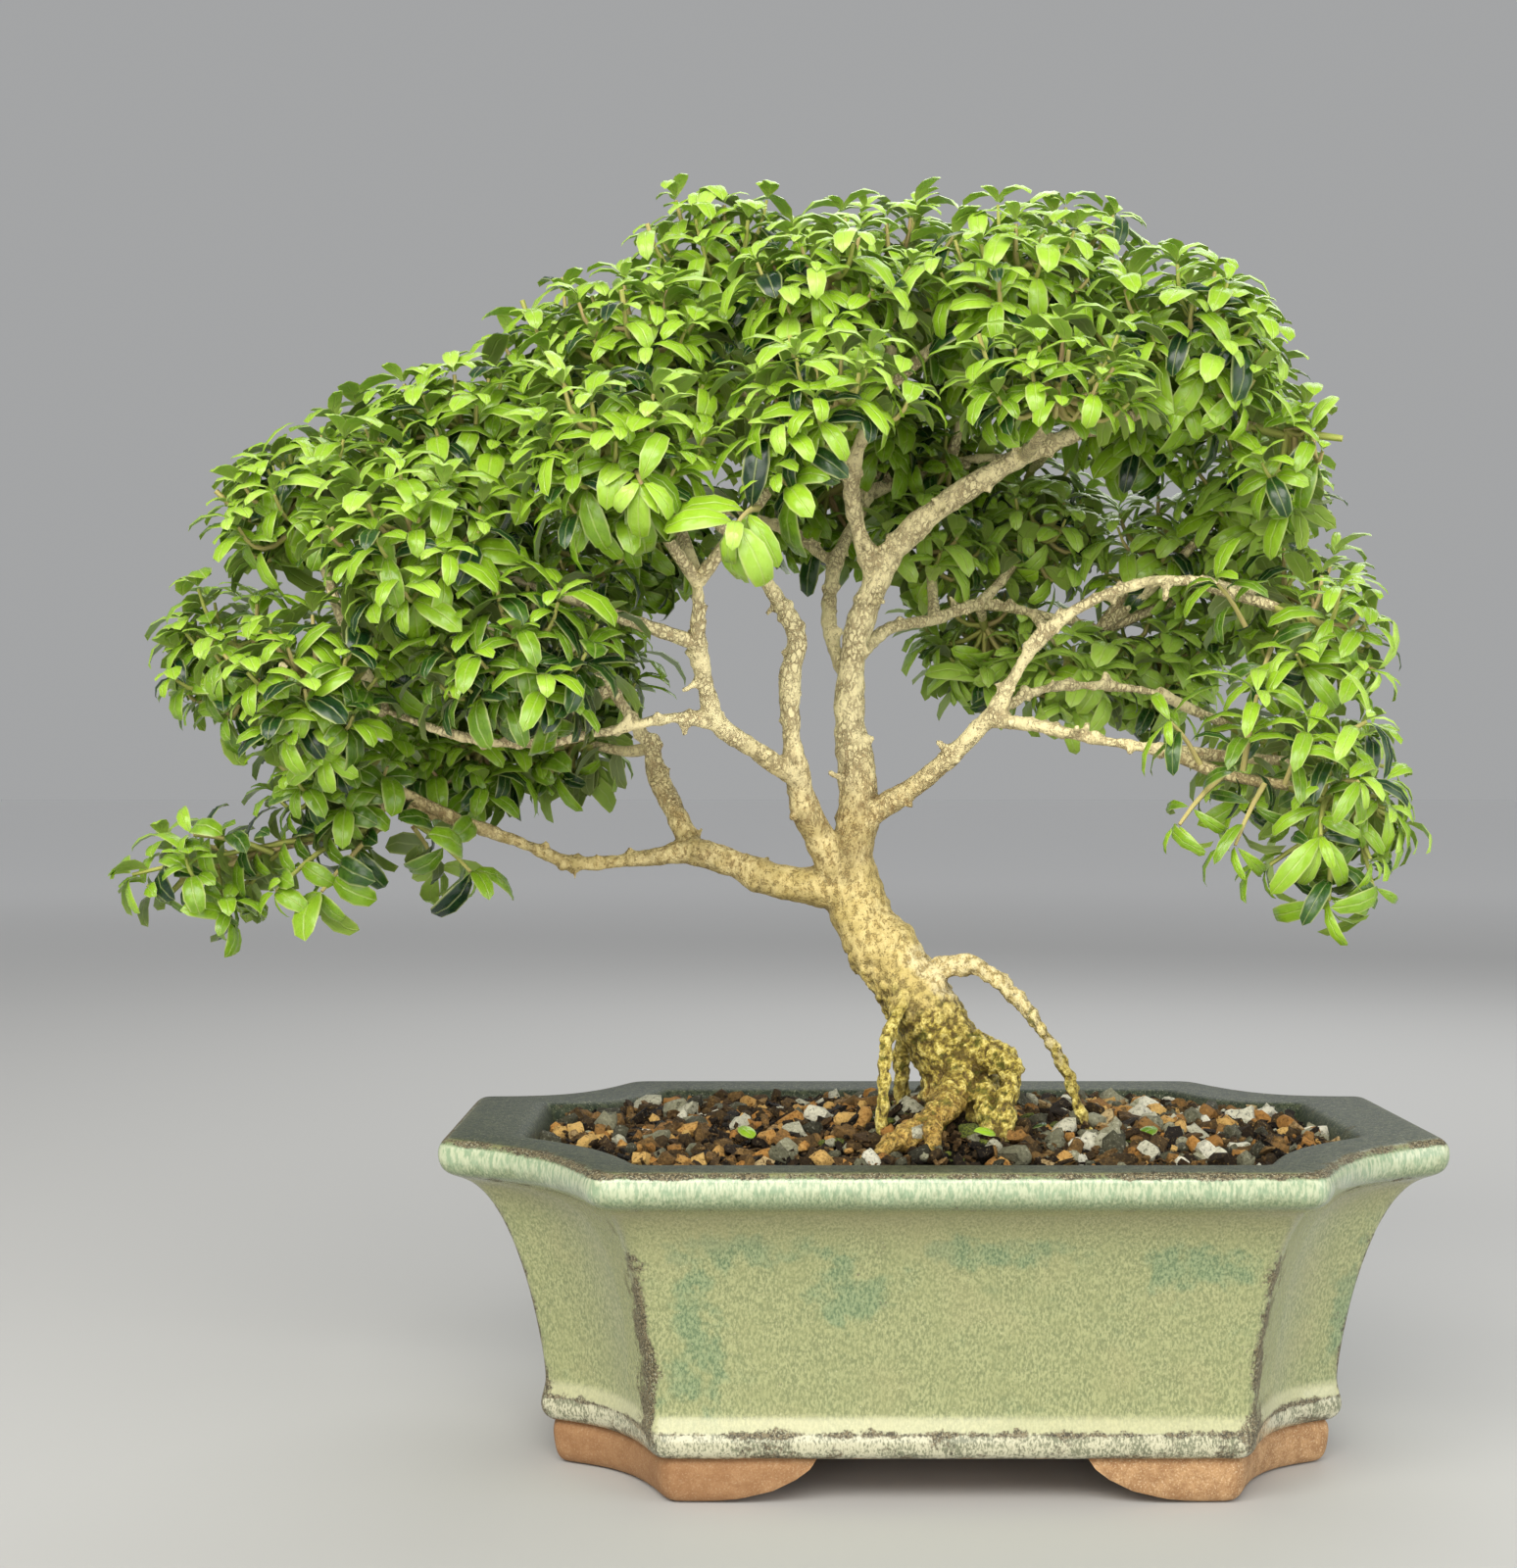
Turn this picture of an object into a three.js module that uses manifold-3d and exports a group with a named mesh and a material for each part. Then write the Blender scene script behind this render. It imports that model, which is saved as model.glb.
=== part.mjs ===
// A small boxwood bonsai in a green glazed pot with indented corners.
// Millimetres, +Z up. It is laid out round the middle of the pot's foot line, and the finished group is
// then moved so that the origin lies on the table, under the middle of the whole bonsai.

import * as THREE from 'three';
import { mergeVertices } from 'three/addons/utils/BufferGeometryUtils.js';
import Module from 'manifold-3d';

const wasm = await Module();
wasm.setup();

// Driving dimensions

const clearance = 0.35; // left between pieces that touch

const pot = {
  halfLength: 76, // out to the rim's corner tips
  halfWidth: 51.4, // out to the rim's long edges
  height: 50.5,
  floorTop: 12,
  underside: 6.8,
  drainX: 26, // a drainage hole at each side of the middle
  drainRadius: 5.5,
};

// The openings between the feet, by half their width at the top and at the soles.
const arch = { front: [19, 37], side: [6.5, 13.5], springZ: 4.6, haunchZ: 2.2, depth: 140 };

const screen = { hole: 6.5, bar: 1.4, holesPerSide: 2, thickness: 0.9 };

const soil = {
  edgeZ: 46.6,
  mound: 4.6, // how much higher it stands round the trunk
  moundAt: [4, -4],
  moundSpread: [36, 27],
  roughness: 1.5,
  pebbles: 26,
  pebbleRadius: 3.4,
  pebbleField: [53, 32],
};

const leaf = { length: 13, shortest: 8, width: 5.8, thickness: 0.85, bend: 0.25, sunk: 2.8 };

// The outline of half a leaf, as [share of its length, share of its width].
const leafOutline = [[0, 0], [0.48, 0.5], [0.82, 0.4], [1, 0]];

const spray = {
  coreShare: 0.56, // the core's radius as a share of the spray's reach, and its height
  coreHeight: 0.52,
  pairs: 8,
  fullLeaves: 10,
  smallLeaves: 8, // on sprays that reach less than fullReach
  fullReach: 15,
  stemRadius: 0.95,
  twigRadius: 1.05,
  stemShows: 2.2, // the length of the stem outside the core
};

const canopyMiddle = [-15, 0, 130];

const colours = { glaze: 0x86a07c, plastic: 0x1d1f1e, soil: 0x5a4232, bark: 0xb59a6c, leaf: 0x4f8a2c };

// The wood, as limbs of [x, y, z, radius] that each start on the limb they grow from.
// sides and steps (for each stretch between two points) set how finely a limb is made.

const limbs = {
  trunk: { sides: 9, steps: 1.2, points: [[7, -8, 38, 7.2], [6, -8, 47, 7.4], [4, -7, 55, 6.3],
    [1, -6, 64, 5.8], [-4, -3, 73, 5.2], [-9, 0, 82, 4.8], [-13, 2, 89, 4.9], [-14, 2, 94, 4.2]] },
  leader: { sides: 7, steps: 1, points: [[-14, 2, 90, 4.3], [-12, 2, 98, 4], [-12, 3, 106, 3.7],
    [-13, 4, 113, 3.3], [-13, 5, 121, 3], [-12, 5, 128, 2.9], [-10, 5, 134, 2.9], [-7, 5, 141, 2.7]] },
  crownRight: { sides: 6, steps: 0.8, points: [[-8, 5, 140, 2.7], [-2, 2, 146, 2.6], [5, -2, 151, 2.4],
    [14, -6, 156, 2], [22, -9, 159, 1.7], [32, -12, 162, 1.3]] },
  crownLeft: { sides: 5, steps: 0.75, points: [[-9, 5, 138, 2.2], [-12, 3, 146, 1.9], [-13, 0, 154, 1.8],
    [-11, -5, 160, 1.5], [-8, -9, 166, 1.2]] },
  crownLeftFork: { sides: 4, steps: 1, points: [[-13, 0, 153, 1.5], [-18, -3, 158, 1.3],
    [-24, -6, 166, 1.1]] },
  back: { sides: 5, steps: 0.75, points: [[-13, 6, 120, 1.9], [-16, 15, 130, 1.7], [-15, 24, 141, 1.7],
    [-11, 32, 150, 1.6], [-6, 36, 160, 1.3]] },
  backLeft: { sides: 4, steps: 1, points: [[-15, 25, 142, 1.3], [-27, 33, 150, 1.2], [-42, 37, 153, 1]] },
  backRightTop: { sides: 4, steps: 1, points: [[-8, 35, 155, 1.3], [6, 38, 161, 1.1], [22, 36, 162, 1]] },
  backRight: { sides: 5, steps: 0.8, points: [[-12, 6, 125, 2], [-6, 14, 130, 1.5], [2, 22, 132, 1.5],
    [10, 28, 135, 1.4], [20, 33, 134, 1.2], [32, 35, 131, 1.1]] },
  second: { sides: 6, steps: 1, points: [[-14, 1, 88, 3.8], [-20, -3, 99, 3], [-22, -6, 106, 2.6],
    [-23, -8, 114, 2.2], [-23, -8, 121, 2], [-22, -8, 127, 2], [-25, -9, 133, 1.7],
    [-31, -10, 142, 1.3]] },
  secondTop: { sides: 4, steps: 1, points: [[-30, -10, 141, 1.3], [-40, -7, 149, 1.1], [-52, -4, 152, 1]] },
  secondLeft: { sides: 5, steps: 0.8, points: [[-22, -6, 105, 2.3], [-28, -12, 109, 2.1],
    [-34, -18, 113, 2], [-36, -22, 119, 1.7], [-37, -26, 125, 1.8], [-37, -30, 134, 1.2]] },
  longLeft: { sides: 5, steps: 0.8, points: [[-33, -17, 113, 1.7], [-41, -22, 114, 1.2], [-50, -25, 112, 1],
    [-61, -27, 110, 1], [-72, -28, 111, 1], [-84, -27, 115, 0.9]] },
  lowLeft: { sides: 6, steps: 0.9, points: [[-13, 1, 87, 4.2], [-24, 2, 88, 3.5], [-32, 4, 91, 3.1],
    [-39, 6, 93, 2.8], [-45, 7, 92, 2], [-58, 8, 91, 1.6], [-66, 7, 94, 1.4], [-77, 5, 98, 1.3],
    [-88, 2, 101, 1.1]] },
  lowLeftUp: { sides: 5, steps: 1, points: [[-38, 6, 92, 2.6], [-42, 10, 100, 2.3], [-45, 14, 106, 2.2],
    [-46, 17, 112, 1.8]] },
  leftInner: { sides: 4, steps: 1, points: [[-46, 16, 110, 1.7], [-53, 18, 120, 1.3], [-63, 18, 130, 1.1]] },
  right: { sides: 5, steps: 1, points: [[-12, 2, 98, 2.8], [-4, -2, 103, 2.2], [1, -5, 107, 2],
    [5, -8, 111, 1.9], [10, -10, 116, 1.7]] },
  rightHigh: { sides: 5, steps: 0.8, points: [[9, -10, 115, 1.7], [12, -12, 121, 1.5], [16, -14, 127, 1.5],
    [23, -16, 132, 1.4], [32, -18, 135, 1.2], [40, -18, 135, 1]] },
  rightMid: { sides: 4, steps: 1, points: [[9, -10, 115, 1.2], [17, -4, 119, 1.1], [27, 3, 120, 1.1],
    [38, 9, 119, 1]] },
  rightLow: { sides: 5, steps: 1, points: [[9, -10, 114, 1.5], [15, -14, 113, 1.4], [23, -18, 111, 1.2],
    [34, -22, 109, 1.1]] },
  rootArch: { sides: 6, steps: 1, points: [[-4, -4, 73, 2.2], [3, -6, 75, 1.9], [8, -8, 74, 1.7],
    [12, -10, 70, 1.6], [16, -12, 66, 1.4], [20, -13, 59, 1.3], [23, -14, 47, 1.2]] },
  rootThin: { sides: 5, steps: 1, points: [[-5, -8, 71, 1.5], [-8, -16, 65, 1.2], [-9, -19, 57, 1.1],
    [-9, -20, 45, 1]] },
  rootProp: { sides: 5, steps: 1, points: [[-3, -3, 68, 2], [-5, 0, 60, 1.8], [-4, 2, 45, 1.7]] },
  rootFoot: { sides: 6, steps: 1, points: [[4, -9, 59, 4], [1, -19, 55, 3.4], [-6, -27, 51, 2.8],
    [-12, -32, 44, 1.8]] },
  rootKnee: { sides: 5, steps: 1, points: [[6, -9, 61, 4], [11, -15, 58, 3.2], [11, -22, 45, 2.4]] },
  rootBack: { sides: 5, steps: 1, points: [[6, -4, 60, 3.4], [15, 4, 57, 2.6], [18, 9, 45, 1.8]] },
};

// The leafy sprays: a name, the limb and point its twig grows from, its middle, and how far it reaches.

const sprays = [
  ['crown_left', 'secondTop', 2, [-84, 1, 157], [17, 15, 12]],
  ['crown_slope', 'secondTop', 1, [-58, -1, 171], [16, 15, 13]],
  ['crown_peak', 'crownLeftFork', 2, [-33, -2, 187], [16, 15, 14]],
  ['crown_top', 'crownLeft', 4, [-6, 0, 187], [16, 15, 13]],
  ['crown_top_right', 'crownRight', 4, [21, 2, 186], [16, 15, 13]],
  ['crown_right', 'crownRight', 5, [45, 1, 176], [16, 15, 13]],
  ['front_far_left', 'longLeft', 5, [-98, -22, 148], [16, 15, 13]],
  ['front_left', 'secondTop', 2, [-73, -19, 158], [16, 15, 13]],
  ['front_slope', 'secondLeft', 5, [-46, -22, 170], [16, 15, 13]],
  ['front_top', 'crownLeftFork', 2, [-18, -25, 178], [16, 15, 13]],
  ['front_top_right', 'crownLeft', 4, [10, -24, 180], [16, 15, 13]],
  ['front_right', 'crownRight', 5, [37, -24, 172], [16, 15, 13]],
  ['front_far_right', 'crownRight', 5, [57, -21, 157], [15, 15, 13]],
  ['back_far_left', 'leftInner', 2, [-76, 28, 151], [16, 15, 13]],
  ['back_slope', 'backLeft', 2, [-46, 22, 170], [16, 15, 13]],
  ['back_top', 'back', 4, [-18, 24, 179], [16, 15, 13]],
  ['back_top_right', 'backRightTop', 1, [10, 25, 180], [16, 15, 13]],
  ['back_right', 'backRightTop', 2, [38, 24, 171], [16, 15, 13]],
  ['back_far_right', 'backRight', 5, [57, 21, 156], [15, 15, 13]],
  ['brow_far_left', 'secondLeft', 4, [-77, -43, 139], [15, 13, 12]],
  ['brow_left', 'secondLeft', 5, [-49, -46, 151], [16, 13, 12]],
  ['brow_middle', 'secondLeft', 5, [-18, -47, 156], [16, 13, 13]],
  ['brow_right', 'crownRight', 3, [14, -46, 159], [16, 13, 12]],
  ['nape_far_left', 'backLeft', 2, [-50, 46, 150], [16, 13, 12]],
  ['nape_middle', 'back', 4, [-18, 48, 156], [16, 13, 12]],
  ['nape_far_right', 'backRightTop', 2, [19, 49, 157], [16, 13, 12]],
  ['right_high', 'rightHigh', 5, [60, -19, 128], [14, 14, 12]],
  ['right_shoulder', 'rightHigh', 5, [60, 8, 135], [14, 13, 12]],
  ['right_low', 'rightLow', 3, [60, -31, 101], [14, 14, 12]],
  ['right_side', 'rightLow', 3, [63, -5, 107], [13, 13, 12]],
  ['right_rear', 'rightMid', 3, [59, 22, 111], [14, 13, 12]],
  ['back_low', 'backRight', 3, [13, 43, 131], [14, 12, 11]],
  ['back_low_right', 'backRight', 5, [42, 41, 127], [15, 13, 12]],
  ['left_tip', 'longLeft', 5, [-111, -9, 126], [16, 14, 12]],
  ['left_front', 'longLeft', 5, [-93, -36, 120], [15, 13, 12]],
  ['left_brow', 'longLeft', 3, [-63, -39, 124], [15, 13, 12]],
  ['left_middle', 'leftInner', 2, [-84, 2, 130], [15, 14, 12]],
  ['left_back', 'leftInner', 2, [-88, 29, 127], [15, 14, 12]],
  ['left_rear', 'leftInner', 1, [-60, 35, 127], [15, 13, 12]],
  ['low_left', 'lowLeft', 7, [-95, -4, 108], [15, 13, 10]],
  ['low_left_tip', 'lowLeft', 8, [-117, -1, 90], [16, 12, 9]],
];

// Helpers

const up = new THREE.Vector3(0, 0, 1);
const goldenAngle = Math.PI * (3 - Math.sqrt(5));

// A closed solid from any closed three.js geometry.
function solid(geometry) {
  const bare = geometry.clone();
  bare.deleteAttribute('normal');
  bare.deleteAttribute('uv');
  const merged = mergeVertices(bare, 1e-4);
  return new wasm.Manifold(new wasm.Mesh({
    numProp: 3,
    vertProperties: new Float32Array(merged.attributes.position.array),
    triVerts: new Uint32Array(merged.index.array),
  }));
}

// A named mesh of a solid, in its own colour.
function mesh(name, body, colour, roughness) {
  const raw = body.getMesh();
  const geometry = new THREE.BufferGeometry();
  geometry.setAttribute('position', new THREE.BufferAttribute(new Float32Array(raw.vertProperties), 3));
  geometry.setIndex(new THREE.BufferAttribute(new Uint32Array(raw.triVerts), 1));
  geometry.computeVertexNormals();
  const material = new THREE.MeshStandardMaterial({ color: colour, roughness, metalness: 0 });
  const made = new THREE.Mesh(geometry, material);
  made.name = name;
  return made;
}

function union(bodies) {
  let layer = bodies;
  while (layer.length > 1) {
    const next = [];
    for (let i = 0; i < layer.length; i += 2) {
      next.push(i + 1 < layer.length ? layer[i].add(layer[i + 1]) : layer[i]);
    }
    layer = next;
  }
  return layer[0];
}

// The one outer body of what was joined: it fills the hollows that joining seals, and drops loose scraps.
function outerBody(body) {
  return body.decompose().sort((a, b) => b.volume() - a.volume())[0];
}

// Pseudo-random numbers from 0 to 1 that are the same on every run.
function seeded(seed) {
  let state = seed;
  return () => {
    state = (state * 16807) % 2147483647;
    return state / 2147483647;
  };
}

// A tapered limb along [x, y, z, radius] points: a three.js cylinder bent along a Catmull-Rom curve.
// grow thickens it, which makes the cutter for the hole it stands in.
function limb({ points, sides, steps }, grow = 0) {
  const curve = new THREE.CatmullRomCurve3(points.map(([x, y, z]) => new THREE.Vector3(x, y, z)));
  const rings = Math.round((points.length - 1) * steps);
  const shape = new THREE.CylinderGeometry(1, 1, 1, sides, rings);
  const frames = [];
  let side = new THREE.Vector3(0, 1, 0);
  for (let i = 0; i <= rings; i += 1) {
    const t = i / rings;
    const along = curve.getTangent(t);
    side = side.clone().addScaledVector(along, -side.dot(along)).normalize();
    const spot = t * (points.length - 1);
    const low = Math.min(points.length - 2, Math.floor(spot));
    const radius = THREE.MathUtils.lerp(points[low][3], points[low + 1][3], spot - low);
    const gnarl = 1 + 0.05 * Math.sin(2.3 * i + points[0][2]);
    const end = Math.floor(t) - Math.floor(1 - t);
    const centre = curve.getPoint(t).addScaledVector(along, end * grow);
    const across = new THREE.Vector3().crossVectors(side, along);
    frames.push({ centre, side, across, radius: radius * gnarl });
  }
  const position = shape.attributes.position;
  for (let i = 0; i < position.count; i += 1) {
    const { centre, side: a, across: b, radius } = frames[Math.round((position.getY(i) + 0.5) * rings)];
    const reach = radius + grow;
    const point = centre.clone()
      .addScaledVector(a, position.getX(i) * reach)
      .addScaledVector(b, position.getZ(i) * reach);
    position.setXYZ(i, point.x, point.y, point.z);
  }
  return solid(shape);
}

// The solid between stacked rings that have equally many points, closed by a face at each end,
// or joined end to end where looped is true.
function loft(rings, looped = false) {
  const count = rings[0].length;
  const vertices = rings.flat(2);
  const faces = [];
  const bands = looped ? rings.length : rings.length - 1;
  for (let r = 0; r < bands; r += 1) {
    const upper = (r + 1) % rings.length;
    for (let i = 0; i < count; i += 1) {
      const j = (i + 1) % count;
      const [a, b, c, d] = [r * count + i, r * count + j, upper * count + j, upper * count + i];
      faces.push(a, b, c, a, c, d);
    }
  }
  if (!looped) {
    for (const [r, turned] of [[0, true], [rings.length - 1, false]]) {
      const flat = rings[r].map(([x, y]) => new THREE.Vector2(x, y));
      for (const [a, b, c] of THREE.ShapeUtils.triangulateShape(flat, [])) {
        const base = r * count;
        faces.push(base + a, base + (turned ? c : b), base + (turned ? b : c));
      }
    }
  }
  const geometry = new THREE.BufferGeometry();
  geometry.setAttribute('position', new THREE.Float32BufferAttribute(vertices, 3));
  geometry.setIndex(faces);
  return solid(geometry);
}

// The pot

// The indented corner, from the end of the long side (0, 0) to the tip of the short side (1, 1).
const cornerCurve = [[0, 0], [0.12, 0.22], [0.35, 0.53], [0.66, 0.78], [1, 1]];

// The pot's plan at one height. a and b are half its length and width, f and s half its straight sides.
function planRing([z, a, b, f, s]) {
  const corner = cornerCurve.map(([u, v]) => [f + (a - f) * u, b + (s - b) * v]);
  const back = [...corner].reverse();
  return [
    ...corner.map(([x, y]) => [x, -y, z]),
    ...back.map(([x, y]) => [x, y, z]),
    ...corner.map(([x, y]) => [-x, y, z]),
    ...back.map(([x, y]) => [-x, -y, z]),
  ];
}

// Rows of [z, a, b, f, s] up the outside, from the base bead to the flared lip.
const outside = [
  [pot.underside, 60, 40, 42.4, 18.8],
  [8.2, 61.2, 41.1, 43, 19.2],
  [10.8, 61.4, 41.2, 43.1, 19.3],
  [12.8, 59.9, 40.1, 42.4, 18.8],
  [20, 61.1, 40.8, 43, 19.2],
  [29, 63.5, 42.3, 44.4, 20],
  [37, 66.8, 44.6, 46.2, 21],
  [42, 70.2, 47.2, 48, 22.2],
  [44.8, 73.2, 49.4, 49.6, 23.2],
  [45.6, 75, 50.7, 50.6, 23.7],
  [47.4, pot.halfLength, pot.halfWidth, 51.2, 24],
  [49.6, 75.7, 51.2, 51, 23.9],
  [pot.height, 74.7, 50.4, 50.5, 23.6],
];
const inside = [
  [50.3, 63.8, 41, 45.4, 18.8],
  [49.4, 62.7, 40.1, 44.8, 18.3],
  [46, 61.8, 39.3, 44.2, 17.9],
  [30, 58.4, 36.9, 41.8, 16.6],
  [14, 55.2, 34.8, 39.4, 15.4],
  [pot.floorTop, 54, 33.8, 38.6, 14.8],
];

function potBody() {
  const shell = loft([...outside, ...inside].map(planRing));
  const skirt = loft([
    [0, 57.6, 37.8, 40.6, 17.6],
    [1.2, 59.2, 39.3, 41.8, 18.4],
    [7.6, 59.7, 39.7, 42.1, 18.6],
    [7.6, 50, 30.5, 36, 12.4],
    [0, 51.5, 32, 37, 13.4],
  ].map(planRing), true);
  const drains = [-pot.drainX, pot.drainX].map((x) => {
    const drill = new THREE.CylinderGeometry(pot.drainRadius, pot.drainRadius, 2 * pot.floorTop, 14);
    drill.rotateX(Math.PI / 2).translate(x, 0, pot.floorTop);
    return solid(drill);
  });
  const feet = skirt.subtract(archBetweenFeet(arch.front)).subtract(archBetweenFeet(arch.side, true));
  return shell.add(feet).subtract(union(drains));
}

// What is cut from under a side: an opening that is narrow at the top and sweeps out to the feet's soles.
function archBetweenFeet([halfTop, halfFoot], alongX = false) {
  const span = halfFoot - halfTop;
  const [spring, haunch] = [halfTop + span * 0.1, halfTop + span * 0.35];
  const shape = new THREE.Shape();
  shape.moveTo(-halfFoot - 2, -1);
  shape.lineTo(-halfFoot, 0);
  shape.quadraticCurveTo(-haunch, arch.haunchZ, -spring, arch.springZ);
  shape.lineTo(-halfTop, pot.underside + 2);
  shape.lineTo(halfTop, pot.underside + 2);
  shape.lineTo(spring, arch.springZ);
  shape.quadraticCurveTo(haunch, arch.haunchZ, halfFoot, 0);
  shape.lineTo(halfFoot + 2, -1);
  const cut = new THREE.ExtrudeGeometry(shape, { depth: arch.depth, bevelEnabled: false, curveSegments: 3 });
  cut.rotateX(Math.PI / 2).translate(0, arch.depth / 2, 0);
  if (alongX) cut.rotateZ(Math.PI / 2);
  return solid(cut);
}

// A square of plastic mesh that lies over a drainage hole.
function drainScreen(x) {
  const pitch = screen.hole + screen.bar;
  const side = screen.holesPerSide * pitch + screen.bar;
  const z = pot.floorTop + clearance + screen.thickness / 2;
  const holes = [];
  for (let i = 0; i < screen.holesPerSide ** 2; i += 1) {
    const column = (i % screen.holesPerSide) - (screen.holesPerSide - 1) / 2;
    const row = Math.floor(i / screen.holesPerSide) - (screen.holesPerSide - 1) / 2;
    const hole = new THREE.BoxGeometry(screen.hole, screen.hole, 3 * screen.thickness);
    holes.push(solid(hole.translate(x + column * pitch, row * pitch, z)));
  }
  const sheet = new THREE.BoxGeometry(side, side, screen.thickness).translate(x, 0, z);
  return solid(sheet).subtract(union(holes));
}

// The soil

function soilHeight(x, y) {
  const [middleX, middleY] = soil.moundAt;
  const [spreadX, spreadY] = soil.moundSpread;
  const away = Math.hypot((x - middleX) / spreadX, (y - middleY) / spreadY);
  return soil.edgeZ + soil.mound * Math.exp(-away * away);
}

// The larger grains, half sunk in the soil, evenly spread by the golden angle.
function pebbles(random) {
  const grains = [];
  for (let i = 0; i < soil.pebbles; i += 1) {
    const out = Math.sqrt((i + 0.5) / soil.pebbles);
    const x = Math.cos(i * goldenAngle) * out * soil.pebbleField[0];
    const y = Math.sin(i * goldenAngle) * out * soil.pebbleField[1];
    const grain = new THREE.OctahedronGeometry(soil.pebbleRadius * (0.75 + 0.5 * random()), 0);
    grain.scale(1.15, 0.95, 0.75).rotateZ(2 * Math.PI * random()).rotateX(random());
    grains.push(solid(grain.translate(x, y, soilHeight(x, y) + 0.3)));
  }
  return union(grains);
}

function soilBody(roots) {
  const tuck = 0.6 * clearance;
  const fit = ([z, a, b, f, s]) => [z, a - clearance, b - clearance, f - tuck, s - tuck];
  const walls = [...inside].reverse().filter(([z]) => z < soil.edgeZ).map(fit);
  walls[0][0] = pot.floorTop + clearance;
  const rings = walls.map(planRing);
  const edge = rings[rings.length - 1];
  const random = seeded(20);
  const rim = 0.96;
  for (const share of [rim, 0.76, 0.52, 0.25]) {
    rings.push(edge.map(([x, y]) => {
      const rough = share < rim ? (random() - 0.5) * soil.roughness : 0;
      return [x * share, y * share, soilHeight(x * share, y * share) + rough];
    }));
  }
  const well = loft([[20, 53, 32, 38, 14], [60, 60.4, 38.4, 43, 17.2]].map(planRing));
  const recesses = [-pot.drainX, pot.drainX].map((x) => {
    const side = screen.holesPerSide * (screen.hole + screen.bar) + screen.bar + 2 * clearance;
    const depth = screen.thickness + clearance;
    return solid(new THREE.BoxGeometry(side, side, 2 * depth).translate(x, 0, pot.floorTop + clearance));
  });
  const topped = loft(rings).add(pebbles(random).intersect(well));
  return outerBody(topped.subtract(union(recesses)).subtract(roots));
}

// The tree

function pointOn(name, index) {
  const [x, y, z] = limbs[name].points[index];
  return new THREE.Vector3(x, y, z);
}

// Where a spray's twig starts, where its own stem takes over, and the direction there.
function sprayStem([, limbName, index, middle, reach]) {
  const start = pointOn(limbName, index);
  const centre = new THREE.Vector3(...middle);
  const along = centre.clone().sub(start).normalize();
  const shares = new THREE.Vector3(spray.coreShare, spray.coreShare, spray.coreHeight);
  const core = new THREE.Vector3(...reach).multiply(shares);
  const edge = 1 / Math.hypot(along.x / core.x, along.y / core.y, along.z / core.z);
  const tip = centre.clone().addScaledVector(along, -edge - spray.stemShows);
  return { start, centre, along, core, tip };
}

function twig(entry) {
  const { start, tip } = sprayStem(entry);
  const points = [[...start, spray.twigRadius * 1.25], [...tip, spray.twigRadius]];
  return limb({ points, sides: 3, steps: 1 });
}

// A leaf blade, bent over towards its tip: a coarse three.js sphere drawn out flat, with a ridge on top.
// grow thickens it, for testing that it is clear of other pieces.
function blade(base, along, face, length, grow = 0) {
  const pod = new THREE.SphereGeometry(1, 3, 3);
  const side = new THREE.Vector3().crossVectors(face, along).normalize();
  const position = pod.attributes.position;
  for (let i = 0; i < position.count; i += 1) {
    const polar = Math.acos(THREE.MathUtils.clamp(position.getY(i), -1, 1));
    const [share, halfWidth] = leafOutline[Math.round(3 * (1 - polar / Math.PI))];
    const round = Math.hypot(position.getX(i), position.getZ(i));
    const [u, v] = round < 1e-6 ? [0, 0] : [position.getZ(i) / round, position.getX(i) / round];
    const across = halfWidth > 0 ? (u / 0.866) * (halfWidth * leaf.width + grow) : 0;
    const lift = halfWidth > 0 ? v * (leaf.thickness * 0.667 + grow * 1.6) : 0;
    const point = base.clone()
      .addScaledVector(along, share * (length + grow))
      .addScaledVector(face, lift - leaf.bend * length * share * share)
      .addScaledVector(side, across);
    position.setXYZ(i, point.x, point.y, point.z);
  }
  return solid(pod);
}

// The directions of a spray's shoots: even on all sides, with the outermost first.
function shootDirections(centre) {
  const outward = centre.clone().sub(new THREE.Vector3(...canopyMiddle)).normalize();
  const all = [];
  for (let i = 0; i < spray.pairs; i += 1) {
    const z = 1 - (2 * i + 1) / spray.pairs;
    const flat = Math.sqrt(1 - z * z);
    const turn = i * goldenAngle + centre.x;
    all.push(new THREE.Vector3(Math.cos(turn) * flat, Math.sin(turn) * flat, z));
  }
  return all.sort((p, q) => q.dot(outward) - p.dot(outward));
}

// The crowded twigs at the middle of a spray, as one faceted lump.
function heart(entry, scale) {
  const { centre, core } = sprayStem(entry);
  const lump = new THREE.IcosahedronGeometry(scale, 0);
  lump.scale(core.x, core.y, core.z).rotateZ(centre.x);
  return solid(lump.translate(centre.x, centre.y, centre.z));
}

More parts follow.
